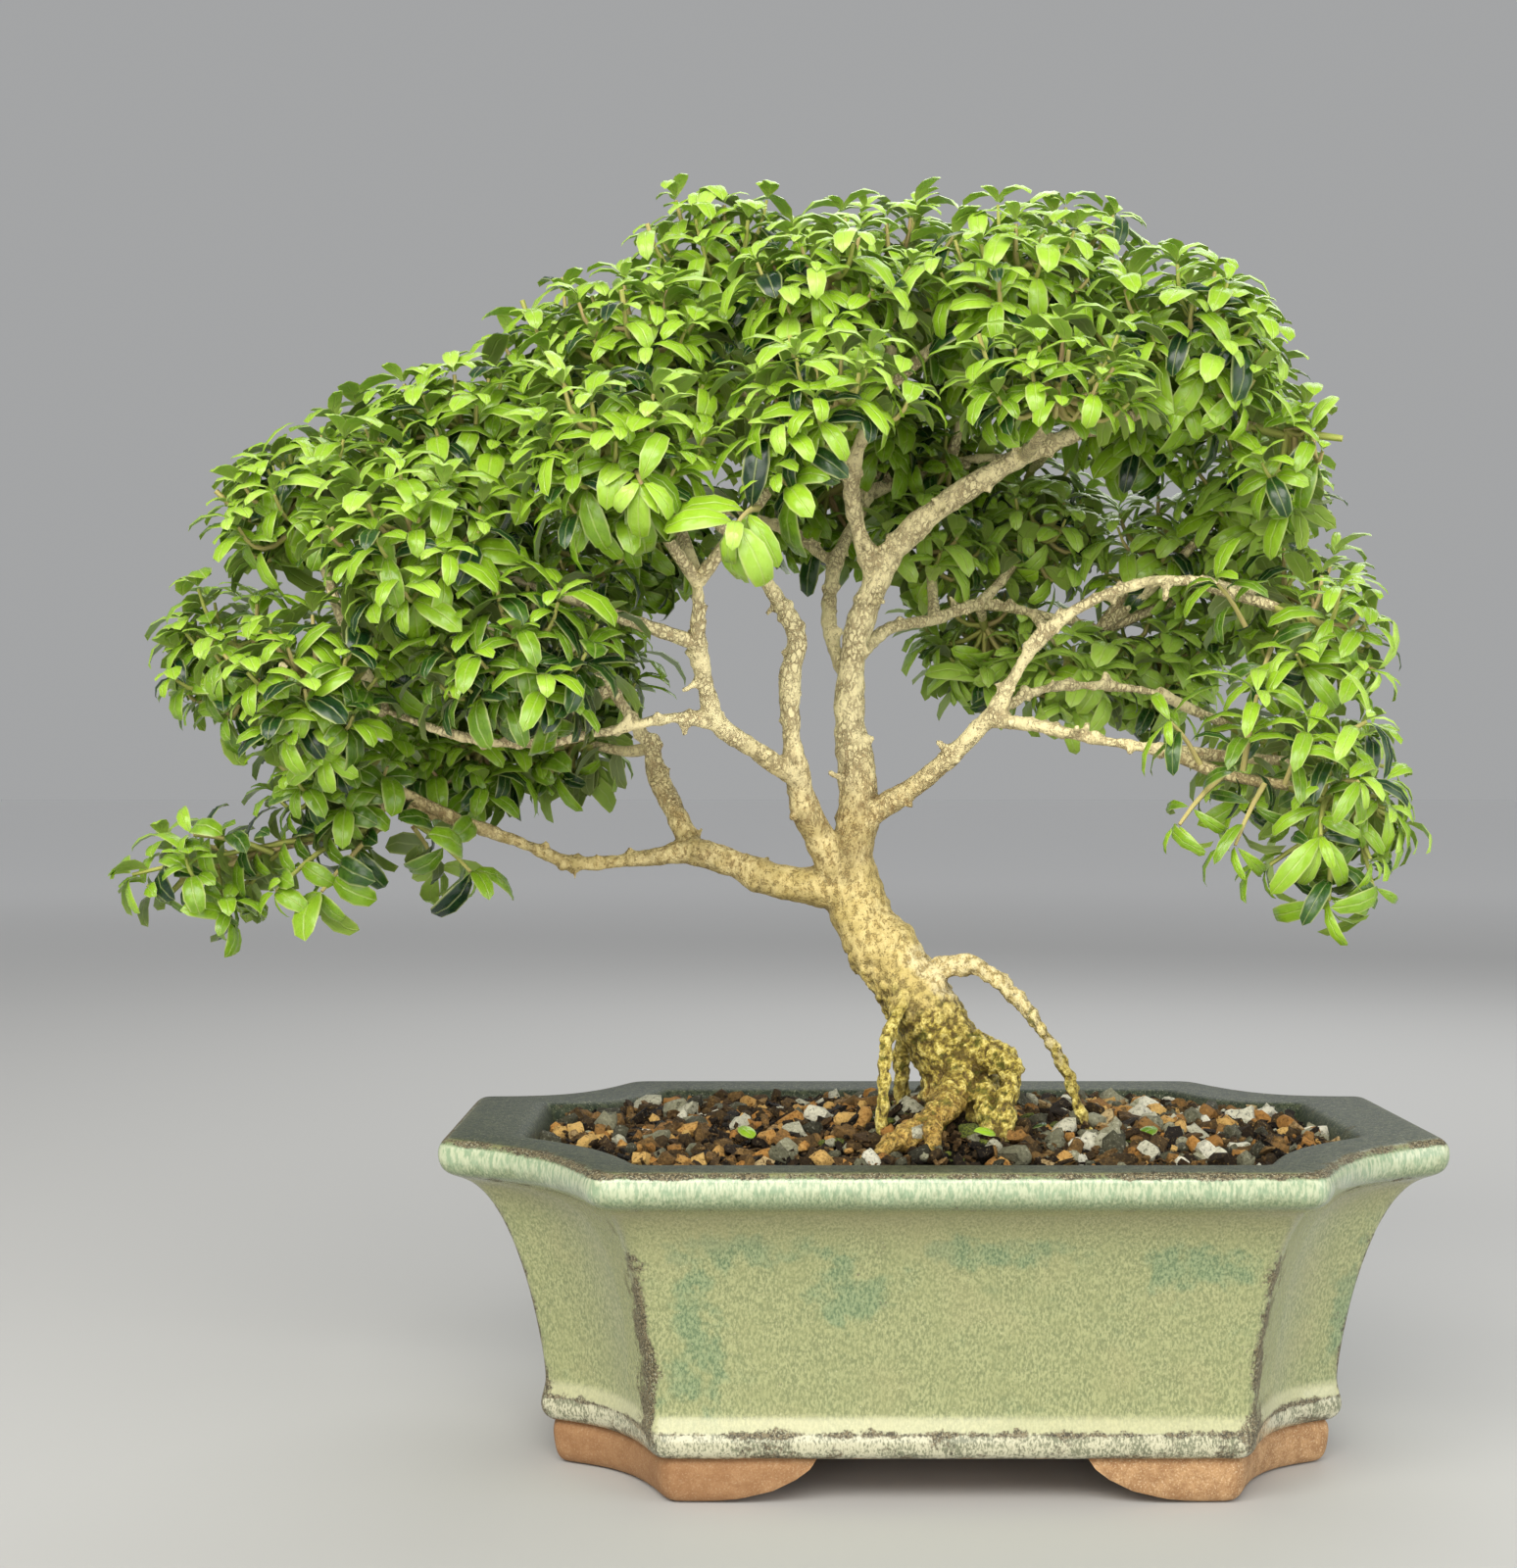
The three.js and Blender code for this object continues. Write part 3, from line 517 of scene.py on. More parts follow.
def glazePaint():
    paint = Paint("sageGlazeOnClay")
    wear, rim, lip = (paint.trait("marks", part) for part in ("Red", "Green", "Blue"))
    side = paint.node("ShaderNodeSeparateXYZ", {}, {"Vector": paint.place}, "X")
    curd = paint.noise(0.34, 3, 0.66, (1, 1, 0.5))  # the glaze curdled in fine drops as it ran down
    curdled = paint.between(curd, 0.36, 0.64)
    cloud = paint.noise(3.4, 4, 0.6, (1, 1, 0.7))
    speck = paint.noise(0.28, 2, 0.5)
    sway = (paint.noise(5.5, 3, 0.6) - 0.5) * 2.6
    sink = (paint.noise(4, 3, 0.6, (1.3, 1, 1)) - 0.5) * 2.6
    runs = 0
    for x, z, wide, tall in potSet["tealRuns"]:
        spot = place(x, 0, z)
        aside = (side - spot.x) * (1 / (wide * mm)) + sway
        above = (paint.height - spot.z) * (1 / (tall * mm)) + sink
        runs = paint.maths("MAXIMUM", 1 - (aside * aside + above * above), runs)
    teal = paint.mix(curdled, (0.095, 0.165, 0.085), (0.245, 0.325, 0.172))
    bead = paint.mix(paint.between(cloud + (curd - 0.5) * 1.6, 0.3, 0.66), (0.19, 0.2, 0.125),
                     (0.56, 0.54, 0.38))
    sage = paint.layered(
        paint.mix(curdled, (0.195, 0.222, 0.102), (0.385, 0.4, 0.197)),
        (paint.between(cloud, 0.4, 0.66) * 0.35, (0.29, 0.31, 0.14)),
        (paint.between(paint.noise(5, 4, 0.65) + runs * 0.46, 0.52, 0.96) * 0.75, teal),
        (paint.between(paint.noise(11, 2, 0.5), 0.5, 0.7) * 0.2, (0.39, 0.355, 0.18)),
        (paint.risen(37, 44) * 0.4, (0.235, 0.21, 0.094)),  # painted shade under the lip
        (paint.risen(13.6, 12.2) * 0.5, (0.62, 0.6, 0.38)),  # painted highlight on the flare of the wall over the bead
        (paint.between(speck, 0.7, 0.76) * 0.6, (0.64, 0.62, 0.42)),
        (paint.risen(11, 10.4), bead))
    band = paint.mix(curdled, (0.14, 0.195, 0.102), (0.26, 0.302, 0.16))
    streak = paint.between(paint.noise(0.6, 3, 0.62, (1, 1, 0.3)), 0.38, 0.6)
    mint = paint.mix(streak, (0.27, 0.365, 0.225), (0.485, 0.53, 0.355))
    mint = paint.mix(paint.between(lip + (cloud - 0.5) * 0.6 + (curd - 0.5) * 0.5, 0.45, 0.95), band, mint)
    clouded = paint.between(paint.noise(0.9, 4, 0.7), 0.42, 0.62)
    slate = paint.mix(clouded, (0.018, 0.03, 0.014), (0.072, 0.086, 0.042))
    slate = paint.mix(paint.between(speck, 0.64, 0.71) * 0.8, slate, (0.42, 0.42, 0.29))
    burnt = paint.between(paint.noise(0.4, 3, 0.7), 0.4, 0.62)
    brown = paint.mix(burnt, (0.03, 0.022, 0.014), (0.19, 0.15, 0.085))
    brown = paint.mix(paint.between(speck, 0.56, 0.66) * 0.7, brown, (0.42, 0.41, 0.29))
    fading = (paint.noise(4.5, 3, 0.6) - 0.5) * 2.2  # the bare edges come and go along the pot
    worn = paint.between(wear + (paint.noise(0.55, 4, 0.75) - 0.5) * 1.5 + fading, 0.5, 0.82)
    glaze = paint.layered(sage, (paint.between(lip, 0.05, 0.45), mint), (rim, slate), (worn * 0.92, brown))
    grit = paint.noise(0.3, 4, 0.75)
    fired = paint.between(paint.noise(2.2, 5, 0.7), 0.36, 0.64)
    clay = paint.layered(
        paint.mix(fired, (0.33, 0.18, 0.08), (0.48, 0.29, 0.14)),
        (paint.between(grit, 0.54, 0.66) * 0.6, (0.24, 0.12, 0.052)),
        (paint.between(grit, 0.46, 0.36) * 0.5, (0.8, 0.64, 0.42)),
        # painted shadow: the clay is darker towards the left foot
        (paint.between(side, 30 * mm, -10 * mm) * 0.6, (0.27, 0.13, 0.055)))
    glazed = paint.risen(6.75, 7, paint.noise(5, 3, 0.6), 1.2)
    rough = 0.15 + worn * 0.45 + rim * 0.36 + curdled * 0.05
    paint.relief((curd * 0.5 + cloud * 0.5) * glazed + grit * (1 - glazed) - worn * 0.4, 0.12)
    return paint.finish({
        "Base Color": paint.mix(glazed, clay, glaze),
        "Roughness": 0.85 + (rough - 0.85) * glazed,
        "Specular IOR Level": 0.38,
        "Coat Weight": glazed * (1 - rim) * (1 - worn) * 0.5,
        "Coat Roughness": 0.08,
    })


def buildPot():
    shell = drawnUp([potRing(row) for row in potSet["outside"]])
    modified(shell, "SUBSURF", levels=2)
    for x in (-potSet["drainX"], potSet["drainX"]):
        cutAway(shell, added(bpy.ops.mesh.primitive_cylinder_add, place(x, 0, 10), vertices=48,
                             radius=potSet["drainRadius"] * mm, depth=30 * mm))
    feet = drawnUp([potRing(row) for row in potSet["feet"]], looped=True)
    modified(feet, "SUBSURF", levels=2)
    cutAway(feet, archCutter(potSet["frontArch"], False))
    cutAway(feet, archCutter(potSet["sideArch"], True))
    pot = joined([shell, feet])
    settle(pot, "glazedPot", glazePaint(), ["pot"], angle=40)
    print("the pot has", len(pot.data.polygons), "faces")


buildPot()


def plasticPaint():
    paint = Paint("darkMeshPlastic")
    strands = paint.noise(0.4, 2, 0.5, (1, 1, 4))
    paint.relief(strands, 0.08)
    colour = paint.mix(strands, (0.022, 0.026, 0.023), (0.055, 0.06, 0.054))
    return paint.finish({"Base Color": colour, "Roughness": 0.45 + strands * 0.2})


screenPaint = plasticPaint()
for name in ("drain_screen_left", "drain_screen_right"):
    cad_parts[name].data.materials.clear()
    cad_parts[name].data.materials.append(screenPaint)


# The soil and its grains

soilSet = {
    "edge": 47.5, "mound": 4.2, "moundAt": (4, -4), "moundSpread": (36, 27), "fibres": 120, "seed": 11,
    # rows of the bed inside the pot, as the pot's own, and how far in each further ring of its top lies
    "bed": [(12.35, 52.8, 32.6, 37.8, 14.2), (14, 54.8, 34.4, 39.1, 15.1), (30, 58, 36.5, 41.5, 16.3),
            (45, 61.4, 38.9, 43.9, 17.6)],
    "bedTop": (0.985, 0.93, 0.86, 0.78, 0.69, 0.6, 0.5, 0.4, 0.3, 0.2, 0.1),
    # how far from the middle grains and fibres are laid
    "grainArea": (61, 39), "fibreArea": (58, 36),
    # half the pot's inner length and width, and half of its straight long and short sides, where the soil is,
    # and how the corner between them goes in
    "inside": (61.8, 39.3, 44.2, 17.9), "corner": ((0, 0.12, 0.35, 0.66, 1), (0, 0.22, 0.53, 0.78, 1)),
    # how many grains there are, their least and greatest size, how flat they lie and up to what angle they
    # look smooth, and how crumpled and how round their blocks are, their proportions, first seed and cuts
    "soilCrumbs": (3000, (0.5, 1.5), 0.2, 35, (0.5, 0, (1, 0.8, 0.7), 10, 0)),
    "barkFlakes": (950, (1, 4), 0.65, 35, (0.42, 0.15, (1, 0.62, 0.34), 20, 1)),
    "clayGrit": (1300, (0.9, 3.4), 0.2, 60, (0.28, 0.6, (1, 0.85, 0.8), 40, 1)),
    "pumiceStones": (420, (1.2, 4.6), 0.3, 60, (0.3, 0.65, (1, 0.8, 0.7), 60, 1)),
    "mossCushions": (70, (1.2, 3.2), 0.9, 60, (0.2, 0.9, (1, 0.9, 0.55), 80, 1)),
    # colours from the hollows to the crests
    "darkBark": [(0, (0.004, 0.003, 0.002)), (0.42, (0.026, 0.015, 0.007)), (0.74, (0.125, 0.07, 0.024)),
                 (0.92, (0.33, 0.2, 0.07)), (1, (0.64, 0.48, 0.24))],
    "orangeClay": [(0, (0.02, 0.012, 0.005)), (0.3, (0.08, 0.05, 0.02)), (0.55, (0.23, 0.13, 0.042)),
                   (0.8, (0.5, 0.235, 0.055)), (1, (0.8, 0.52, 0.17))],
    "palePumice": [(0, (0.034, 0.032, 0.02)), (0.35, (0.15, 0.148, 0.09)), (0.7, (0.39, 0.38, 0.25)),
                   (1, (0.95, 0.92, 0.74))],
    # small things that lie on top: fallen leaves, as x, y, turn, length and how pale, with the width, the bend
    # and the fold of them all, and curled shavings
    "leaves": [(4.2, -26, 0.3, 4.2, 0.7), (15.7, -22, 2.2, 3.6, 0.1), (33, -19, 4, 4.5, 0.3),
               (-31, -16, 5.1, 5, 0.5)],
    "leafForm": (0.45, 0.7, 0.4),
    "shavings": [(33, 22), (44, 31), (-36, 8), (20, -27)],
}


def soilHeight(x, y):
    (middleX, middleY), (spreadX, spreadY) = soilSet["moundAt"], soilSet["moundSpread"]
    away = math.hypot((x - middleX) / spreadX, (y - middleY) / spreadY)
    return soilSet["edge"] + soilSet["mound"] * math.exp(-away * away)


def soilLimit(x):  # half the pot's inner width at x, at the height of the soil
    length, width, front, side = soilSet["inside"]
    along = (abs(x) - front) / (length - front)
    if along > 1:
        return -1
    return width + (side - width) * np.interp(along, *soilSet["corner"])


def soilBedRings():
    rings = [[point[:3] for point in potRing(row)] for row in soilSet["bed"]]
    rim = rings[-1]
    for share in soilSet["bedTop"]:
        ring = []
        for x, y, _ in rim:
            x, y = x * share, y * share
            lumps = noise.noise(Vector((x, y, 0)) * 0.23) * 1.1
            ring.append((x, y, soilHeight(x, y) - 1.5 + lumps))
        rings.append(ring)
    return rings


def blockTemplates(crumple, roundness, proportions, firstSeed, cuts):  # split blocks, broken or rounded
    shapes = []
    for seed in range(firstSeed, firstSeed + 5):
        block = added(bpy.ops.mesh.primitive_cube_add, size=2)
        with editing(block):
            if cuts:
                bpy.ops.mesh.subdivide(number_cuts=cuts)
            bpy.ops.transform.tosphere(value=roundness)
            bpy.ops.transform.vertex_random(offset=crumple, uniform=0.5, normal=0.2, seed=seed)
            bpy.ops.transform.resize(value=proportions)
        shapes.append(templateOf(block))
    return shapes


def grainPaint(name, stops, rough):
    paint = Paint(name)
    tint = paint.trait("marks", "Red")
    spots = paint.noise(0.55, 5, 0.75)
    colour = paint.layered(
        paint.ramp(tint + (spots - 0.5) * 0.5, stops),
        (paint.between(spots, 0.56, 0.7) * 0.45, stops[-1][1]),
        (paint.between(spots, 0.46, 0.34) * 0.7, stops[0][1]))
    paint.relief(spots, 0.7)
    return paint.finish({"Base Color": colour, "Roughness": rough + spots * 0.15, "Specular IOR Level": 0.25})


def scattered(name, material, draw, thinner=None, lightest=1):  # grains that lie all over the bed
    count, (least, greatest), flatness, angle, block = soilSet[name]
    templates = blockTemplates(*block)
    copies, marks = [], []
    tilt = 0.28 + 1.2 * (1 - flatness)
    while len(copies) < count:
        x, y = (draw.uniform(-far, far) for far in soilSet["grainArea"])
        size = least + (greatest - least) * draw.random() ** 2.2
        if abs(y) > soilLimit(x) - size * 0.8:
            continue
        if thinner and draw.random() > thinner(x, y):
            continue
        points, faces = draw.choice(templates)
        turn = Matrix.Rotation(draw.uniform(0, 6.28), 3, "Z")
        for axis in "XY":
            turn = turn @ Matrix.Rotation(draw.uniform(-tilt, tilt), 3, axis)
        shape = np.array([draw.uniform(0.8, 1.25), draw.uniform(0.7, 1), draw.uniform(0.6, 0.95)]) * size / 2
        middle = place(x, y, soilHeight(x, y) + draw.uniform(-1, 0.6) + size * 0.14)
        copies.append(((points * shape * mm) @ np.array(turn).T + np.array(middle), faces))
        marks.append(np.tile((draw.random() * lightest, 0, 0, 1), (len(points), 1)))
    return settle(fromCopies(name, copies, marks), name, material, angle=angle)


def tinted(piece, tint):  # the same tint all over, where a grain's is its own
    setMarks(piece.data, [(tint, 0, 0, 1)] * len(piece.data.vertices))
    return piece


def fibreRoutes(draw):  # root hairs and shreds of bark that lie over the grains
    routes = []
    while len(routes) < soilSet["fibres"]:
        x, y = (draw.uniform(-far, far) for far in soilSet["fibreArea"])
        heading, curl = draw.uniform(0, 6.28), draw.uniform(-0.7, 0.7)
        radius, step = draw.uniform(0.1, 0.24), draw.uniform(0.7, 1.7)
        route = []
        for i in range(6):
            if abs(y) > soilLimit(x) - 1.5:
                break
            route.append((x, y, soilHeight(x, y) + draw.uniform(0.1, 1.1) * math.sin(0.6 + i * 0.4), radius))
            x, y, heading = x + math.cos(heading) * step, y + math.sin(heading) * step, heading + curl
        if len(route) > 3:
            routes.append(route)
    return routes


def shavingRoutes(draw):
    for x, y in soilSet["shavings"]:
        turn, height = draw.uniform(0, 6.28), soilHeight(x, y) + 1.2
        yield [(x + 1.5 * math.cos(turn + i * 0.55), y + 0.9 * math.sin(turn + i * 0.55),
                height + 0.5 * math.sin(i * 0.9), 0.3) for i in range(8)]


def mostlyRight(x, _):  # how likely a pale stone is to stay where it falls
    return 0.3 + 0.7 * min(1, max(0, (x + 25) / 50))


def byTheRoots(x, y):
    return math.exp(-((x - 3) / 16) ** 2 - ((y + 16) / 14) ** 2)


def mossPaint():
    paint = Paint("mossCushion")
    tufts = paint.noise(0.3, 3, 0.7)
    green = paint.mix(paint.between(tufts, 0.36, 0.62), (0.02, 0.032, 0.004), (0.16, 0.19, 0.02))
    paint.relief(tufts, 0.5)
    return paint.finish({"Base Color": green, "Roughness": 0.85 + tufts * 0.1})


def buildSoil():
    draw = random.Random(soilSet["seed"])
    bark = grainPaint("barkChips", soilSet["darkBark"], 0.66)
    clay = grainPaint("firedClayGrit", soilSet["orangeClay"], 0.72)
    paleStone = grainPaint("paleStone", soilSet["palePumice"], 0.55)
    pieces = [
        settle(tinted(drawnUp(soilBedRings()), 0.05), "soilBed", bark, ["soil"], angle=60),
        scattered("soilCrumbs", bark, draw, lightest=0.8),
        scattered("barkFlakes", bark, draw),
        scattered("clayGrit", clay, draw),
        scattered("pumiceStones", paleStone, draw, mostlyRight),
        scattered("mossCushions", mossPaint(), draw, byTheRoots),
        settle(tinted(tubes(fibreRoutes(draw), 1), 0.7), "soilFibres", bark, angle=60),
        settle(tinted(tubes(shavingRoutes(draw), 1), 0.98), "paleShavings", paleStone, angle=60),
    ]
    print("the soil has", sum(len(piece.data.polygons) for piece in pieces), "faces")


buildSoil()


# The trunk, the branches and the roots, as points of x, y, z and radius

limbSet = {
    "trunk": [(7, -8, 38, 7.2), (6, -8, 47, 7.4), (4, -7, 55, 6.3), (1, -6, 64, 5.9), (-5, -3, 73, 5.7),
              (-10.4, 0, 81, 5.3), (-13.2, 2, 88.5, 5.2), (-14, 2, 94, 4.3)],
    "leader": [(-14, 2, 90, 4.3), (-12, 2, 98, 4), (-12, 3, 106, 3.7), (-13, 4, 113, 3.3), (-13, 5, 121, 3),
               (-12, 5, 128, 2.9), (-10, 5, 134, 2.9), (-7, 5, 141, 2.7)],
    "crownRight": [(-8, 5, 140, 2.7), (-2, 2, 146, 2.6), (5, -2, 151, 2.4), (14, -6, 156, 2),
                   (22, -9, 159, 1.7), (32, -12, 162, 1.3)],
    "crownLeft": [(-9, 5, 138, 2.2), (-12, 3, 146, 1.9), (-13, 0, 154, 1.8), (-11, -5, 160, 1.5),
                  (-8, -9, 166, 1.2)],
    "crownLeftFork": [(-13, 0, 153, 1.5), (-18, -3, 158, 1.3), (-24, -6, 166, 1.1)],
    "back": [(-13, 6, 120, 1.9), (-16, 15, 130, 1.7), (-15, 24, 141, 1.7), (-11, 32, 150, 1.6),
             (-6, 36, 160, 1.3)],
    "backLeft": [(-15, 25, 142, 1.3), (-27, 33, 150, 1.2), (-42, 37, 153, 1)],
    "backRightTop": [(-8, 35, 155, 1.3), (6, 38, 161, 1.1), (22, 36, 162, 1)],
    "backRight": [(-12, 6, 125, 2), (-6, 14, 130, 1.5), (2, 22, 132, 1.5), (10, 28, 135, 1.4),
                  (20, 33, 134, 1.2), (32, 35, 131, 1.1)],
    "second": [(-14, 1, 88, 3.8), (-20, -3, 99, 3), (-22, -6, 106, 2.6), (-23, -8, 114, 2.2),
               (-23, -8, 121, 2), (-22, -8, 127, 2), (-25, -9, 133, 1.7), (-31, -10, 142, 1.3)],
    "secondTop": [(-30, -10, 141, 1.3), (-40, -7, 149, 1.1), (-52, -4, 152, 1)],
    "secondLeft": [(-22, -6, 105, 2.3), (-28, -12, 109, 2.1), (-34, -18, 113, 2), (-36, -22, 119, 1.7),
                   (-37, -26, 125, 1.8), (-37, -30, 134, 1.2)],
    "longLeft": [(-33, -17, 113, 1.7), (-41, -22, 114, 1.2), (-50, -25, 112, 1), (-61, -27, 110, 1),
                 (-72, -28, 111, 1), (-84, -27, 115, 0.9)],
    "lowLeft": [(-13, 1, 87, 4.2), (-24, 2, 88, 3.5), (-32, 4, 91, 3.1), (-39, 6, 93, 2.8), (-45, 7, 92, 2),
                (-58, 8, 91, 1.6), (-66, 7, 94, 1.4), (-77, 5, 98, 1.3), (-88, 2, 101, 1.1)],
    "lowLeftUp": [(-38, 6, 92, 2.6), (-42, 10, 100, 2.3), (-45, 14, 106, 2.2), (-46, 17, 112, 1.8)],
    "leftInner": [(-46, 16, 110, 1.7), (-53, 18, 120, 1.3), (-63, 18, 130, 1.1)],
    "right": [(-12, 2, 98, 2.8), (-4, -2, 103, 2.2), (1, -5, 107, 2), (5, -8, 111, 1.9), (10, -10, 116, 1.7)],
    "rightHigh": [(9, -10, 115, 1.7), (12, -12, 121, 1.5), (16, -14, 127, 1.5), (23, -16, 132, 1.4),
                  (32, -18, 135, 1.2), (40, -18, 135, 1)],
    "rightMid": [(9, -10, 115, 1.2), (17, -4, 119, 1.1), (27, 3, 120, 1.1), (38, 9, 119, 1)],
    "rightLow": [(9, -10, 114, 1.5), (15, -14, 113, 1.4), (23, -18, 111, 1.2), (34, -22, 109, 1.1)],
    "rootArch": [(-4, -4, 72, 2.8), (2, -6, 75, 2.5), (7, -8, 75, 2.1), (12, -10, 71, 1.8),
                 (16, -12, 66, 1.6), (20, -13, 59, 1.5), (24, -14, 47, 1.3)],
    "rootThin": [(-5, -8, 71, 1.9), (-8, -16, 65, 1.6), (-9, -19, 57, 1.5), (-9, -20, 45, 1.4)],
    "rootProp": [(-3, -3, 68, 2), (-5, 0, 60, 1.8), (-4, 2, 45, 1.7)],
    "rootFoot": [(4, -9, 59, 4), (0, -19, 54, 2.9), (-6, -26, 51, 2.6), (-9, -30, 50, 2),
                 (-14, -33, 44, 1.6)],
    "rootFinger": [(-2, -22, 53, 2.2), (-2, -28, 51, 1.7), (-5, -33, 44, 1.3)],
    "rootKnee": [(6, -9, 62, 4), (11, -14, 60.3, 2.6), (10, -18, 55, 2.2), (8.5, -21, 45, 1.9)],
    "rootHeel": [(7, -12, 57, 2.8), (7, -19, 52, 2), (6, -25, 44, 1.5)],
    "rootBack": [(6, -4, 61, 3.4), (11.5, 3, 58.5, 2.3), (13.5, 8, 45, 1.6)],
}

woodSet = {
    # thin limbs are slimmed to this share, less and less from one radius to the other, down to the least
    "slim": 0.84, "slimRadii": (3.2, 5.2), "least": 0.66, "gnarl": 0.15,
    "spacing": 1.3, "knots": 420, "cutTwigs": 46, "voxel": 0.52, "rootTop": 77,
    # the size and the depth of each relief, and the part of the wood that it is on, where it isn't all of it
    "reliefs": {"flutes": (7, 0.8, ""), "flakes": (1.3, 0.36, ""), "knobs": (1.7, 1.7, "roots")},
    "rusty": ("rootFoot", "rootFinger"), "bleached": ("rootArch",), "seed": 5,
    # the core of a spray as shares of its reach, how far short of it the twig ends, and the twig's radii
    "core": (0.56, 0.56, 0.52), "short": 2.2, "twig": (1.15, 0.92, 0.78, 0.7),
}

# The leafy sprays: the limb and the point that its twig grows from, its middle, and how far it reaches

spraySet = {
    "crown_left": ("secondTop", 2, (-84, 1, 157), (17, 15, 12)),
    "crown_slope": ("secondTop", 1, (-58, -1, 171), (16, 15, 13)),
    "crown_peak": ("crownLeftFork", 2, (-33, -2, 187), (16, 15, 14)),
    "crown_top": ("crownLeft", 4, (-6, 0, 187), (16, 15, 13)),
    "crown_top_right": ("crownRight", 4, (21, 2, 186), (16, 15, 13)),
    "crown_right": ("crownRight", 5, (45, 1, 176), (16, 15, 13)),
    "front_far_left": ("longLeft", 5, (-98, -22, 148), (16, 15, 13)),
    "front_left": ("secondTop", 2, (-73, -19, 158), (16, 15, 13)),
    "front_slope": ("secondLeft", 5, (-46, -22, 170), (16, 15, 13)),
    "front_top": ("crownLeftFork", 2, (-18, -25, 178), (16, 15, 13)),
    "front_top_right": ("crownLeft", 4, (10, -24, 180), (16, 15, 13)),
    "front_right": ("crownRight", 5, (37, -24, 172), (16, 15, 13)),
    "front_far_right": ("crownRight", 5, (57, -21, 157), (15, 15, 13)),
    "back_far_left": ("leftInner", 2, (-76, 28, 151), (16, 15, 13)),
    "back_slope": ("backLeft", 2, (-46, 22, 170), (16, 15, 13)),
    "back_top": ("back", 4, (-18, 24, 179), (16, 15, 13)),
    "back_top_right": ("backRightTop", 1, (10, 25, 180), (16, 15, 13)),
    "back_right": ("backRightTop", 2, (38, 24, 171), (16, 15, 13)),
    "back_far_right": ("backRight", 5, (57, 21, 156), (15, 15, 13)),
    "brow_far_left": ("secondLeft", 4, (-77, -43, 139), (15, 13, 12)),
    "brow_left": ("secondLeft", 5, (-49, -46, 151), (16, 13, 12)),
    "brow_middle": ("secondLeft", 5, (-18, -47, 156), (16, 13, 13)),
    "brow_right": ("crownRight", 3, (14, -46, 159), (16, 13, 12)),
    "nape_far_left": ("backLeft", 2, (-50, 46, 150), (16, 13, 12)),
    "nape_middle": ("back", 4, (-18, 48, 156), (16, 13, 12)),
    "nape_far_right": ("backRightTop", 2, (19, 49, 157), (16, 13, 12)),
    "right_high": ("rightHigh", 5, (60, -19, 128), (14, 14, 12)),
    "right_shoulder": ("rightHigh", 5, (60, 8, 135), (14, 13, 12)),
    "right_low": ("rightLow", 3, (60, -31, 101), (14, 14, 12)),
    "right_side": ("rightLow", 3, (63, -5, 107), (13, 13, 12)),
    "right_rear": ("rightMid", 3, (59, 22, 111), (14, 13, 12)),
    "back_low": ("backRight", 3, (13, 43, 131), (14, 12, 11)),
    "back_low_right": ("backRight", 5, (42, 41, 127), (15, 13, 12)),
    "left_tip": ("longLeft", 5, (-111, -9, 126), (16, 14, 12)),
    "left_front": ("longLeft", 5, (-93, -36, 120), (15, 13, 12)),
    "left_brow": ("longLeft", 3, (-63, -39, 124), (15, 13, 12)),
    "left_middle": ("leftInner", 2, (-84, 2, 130), (15, 14, 12)),
    "left_back": ("leftInner", 2, (-88, 29, 127), (15, 14, 12)),
    "left_rear": ("leftInner", 1, (-60, 35, 127), (15, 13, 12)),
    "low_left": ("lowLeft", 7, (-95, -4, 108), (15, 13, 10)),
    "low_left_tip": ("lowLeft", 8, (-117, -1, 90), (16, 12, 9)),
}

# smaller tufts that fill the crown between the sprays, each in the foliage of the spray that it is named by

tuftSet = [
    ("back_low", "backRight", 2, (2, 35, 146), (12, 11, 9)),
    ("back_low", "backRight", 3, (22, 38, 149), (12, 11, 9)),
    ("back_low_right", "backRight", 5, (42, 34, 146), (12, 11, 10)),
    ("back_low_right", "backRight", 4, (27, 27, 124), (11, 10, 7)),
    ("back_far_right", "backRight", 5, (55, 33, 140), (11, 11, 10)),
    ("left_back", "leftInner", 1, (-78, 24, 109), (13, 11, 8)),
    ("left_rear", "leftInner", 0, (-62, 30, 111), (11, 10, 8)),
    ("left_rear", "leftInner", 1, (-60, 24, 141), (12, 11, 9)),
    ("nape_far_right", "backRightTop", 1, (3, 41, 162), (13, 10, 9)),
    ("crown_peak", "crownLeftFork", 2, (-37, 4, 168), (12, 11, 9)),
    ("nape_middle", "back", 3, (-8, 36, 166), (11, 10, 8)),
]


def sprayParts(wanted=None):  # every spray and tuft, or those of one piece
    for name, (limb, index, middle, reach) in spraySet.items():
        if wanted in (None, name):
            yield limb, index, middle, reach
    for name, limb, index, middle, reach in tuftSet:
        if wanted in (None, name):
            yield limb, index, middle, reach


def twigRoute(limb, index, middle, reach):  # from its limb to the foot of the spray's own stem
    start, centre = Vector(limbSet[limb][index][:3]), Vector(middle)
    along = (centre - start).normalized()
    core = Vector([far * share for far, share in zip(reach, woodSet["core"])])
    edge = 1 / math.sqrt(sum((along[i] / core[i]) ** 2 for i in range(3)))
    tip = centre - along * (edge + woodSet["short"])
    return start, tip, centre, along


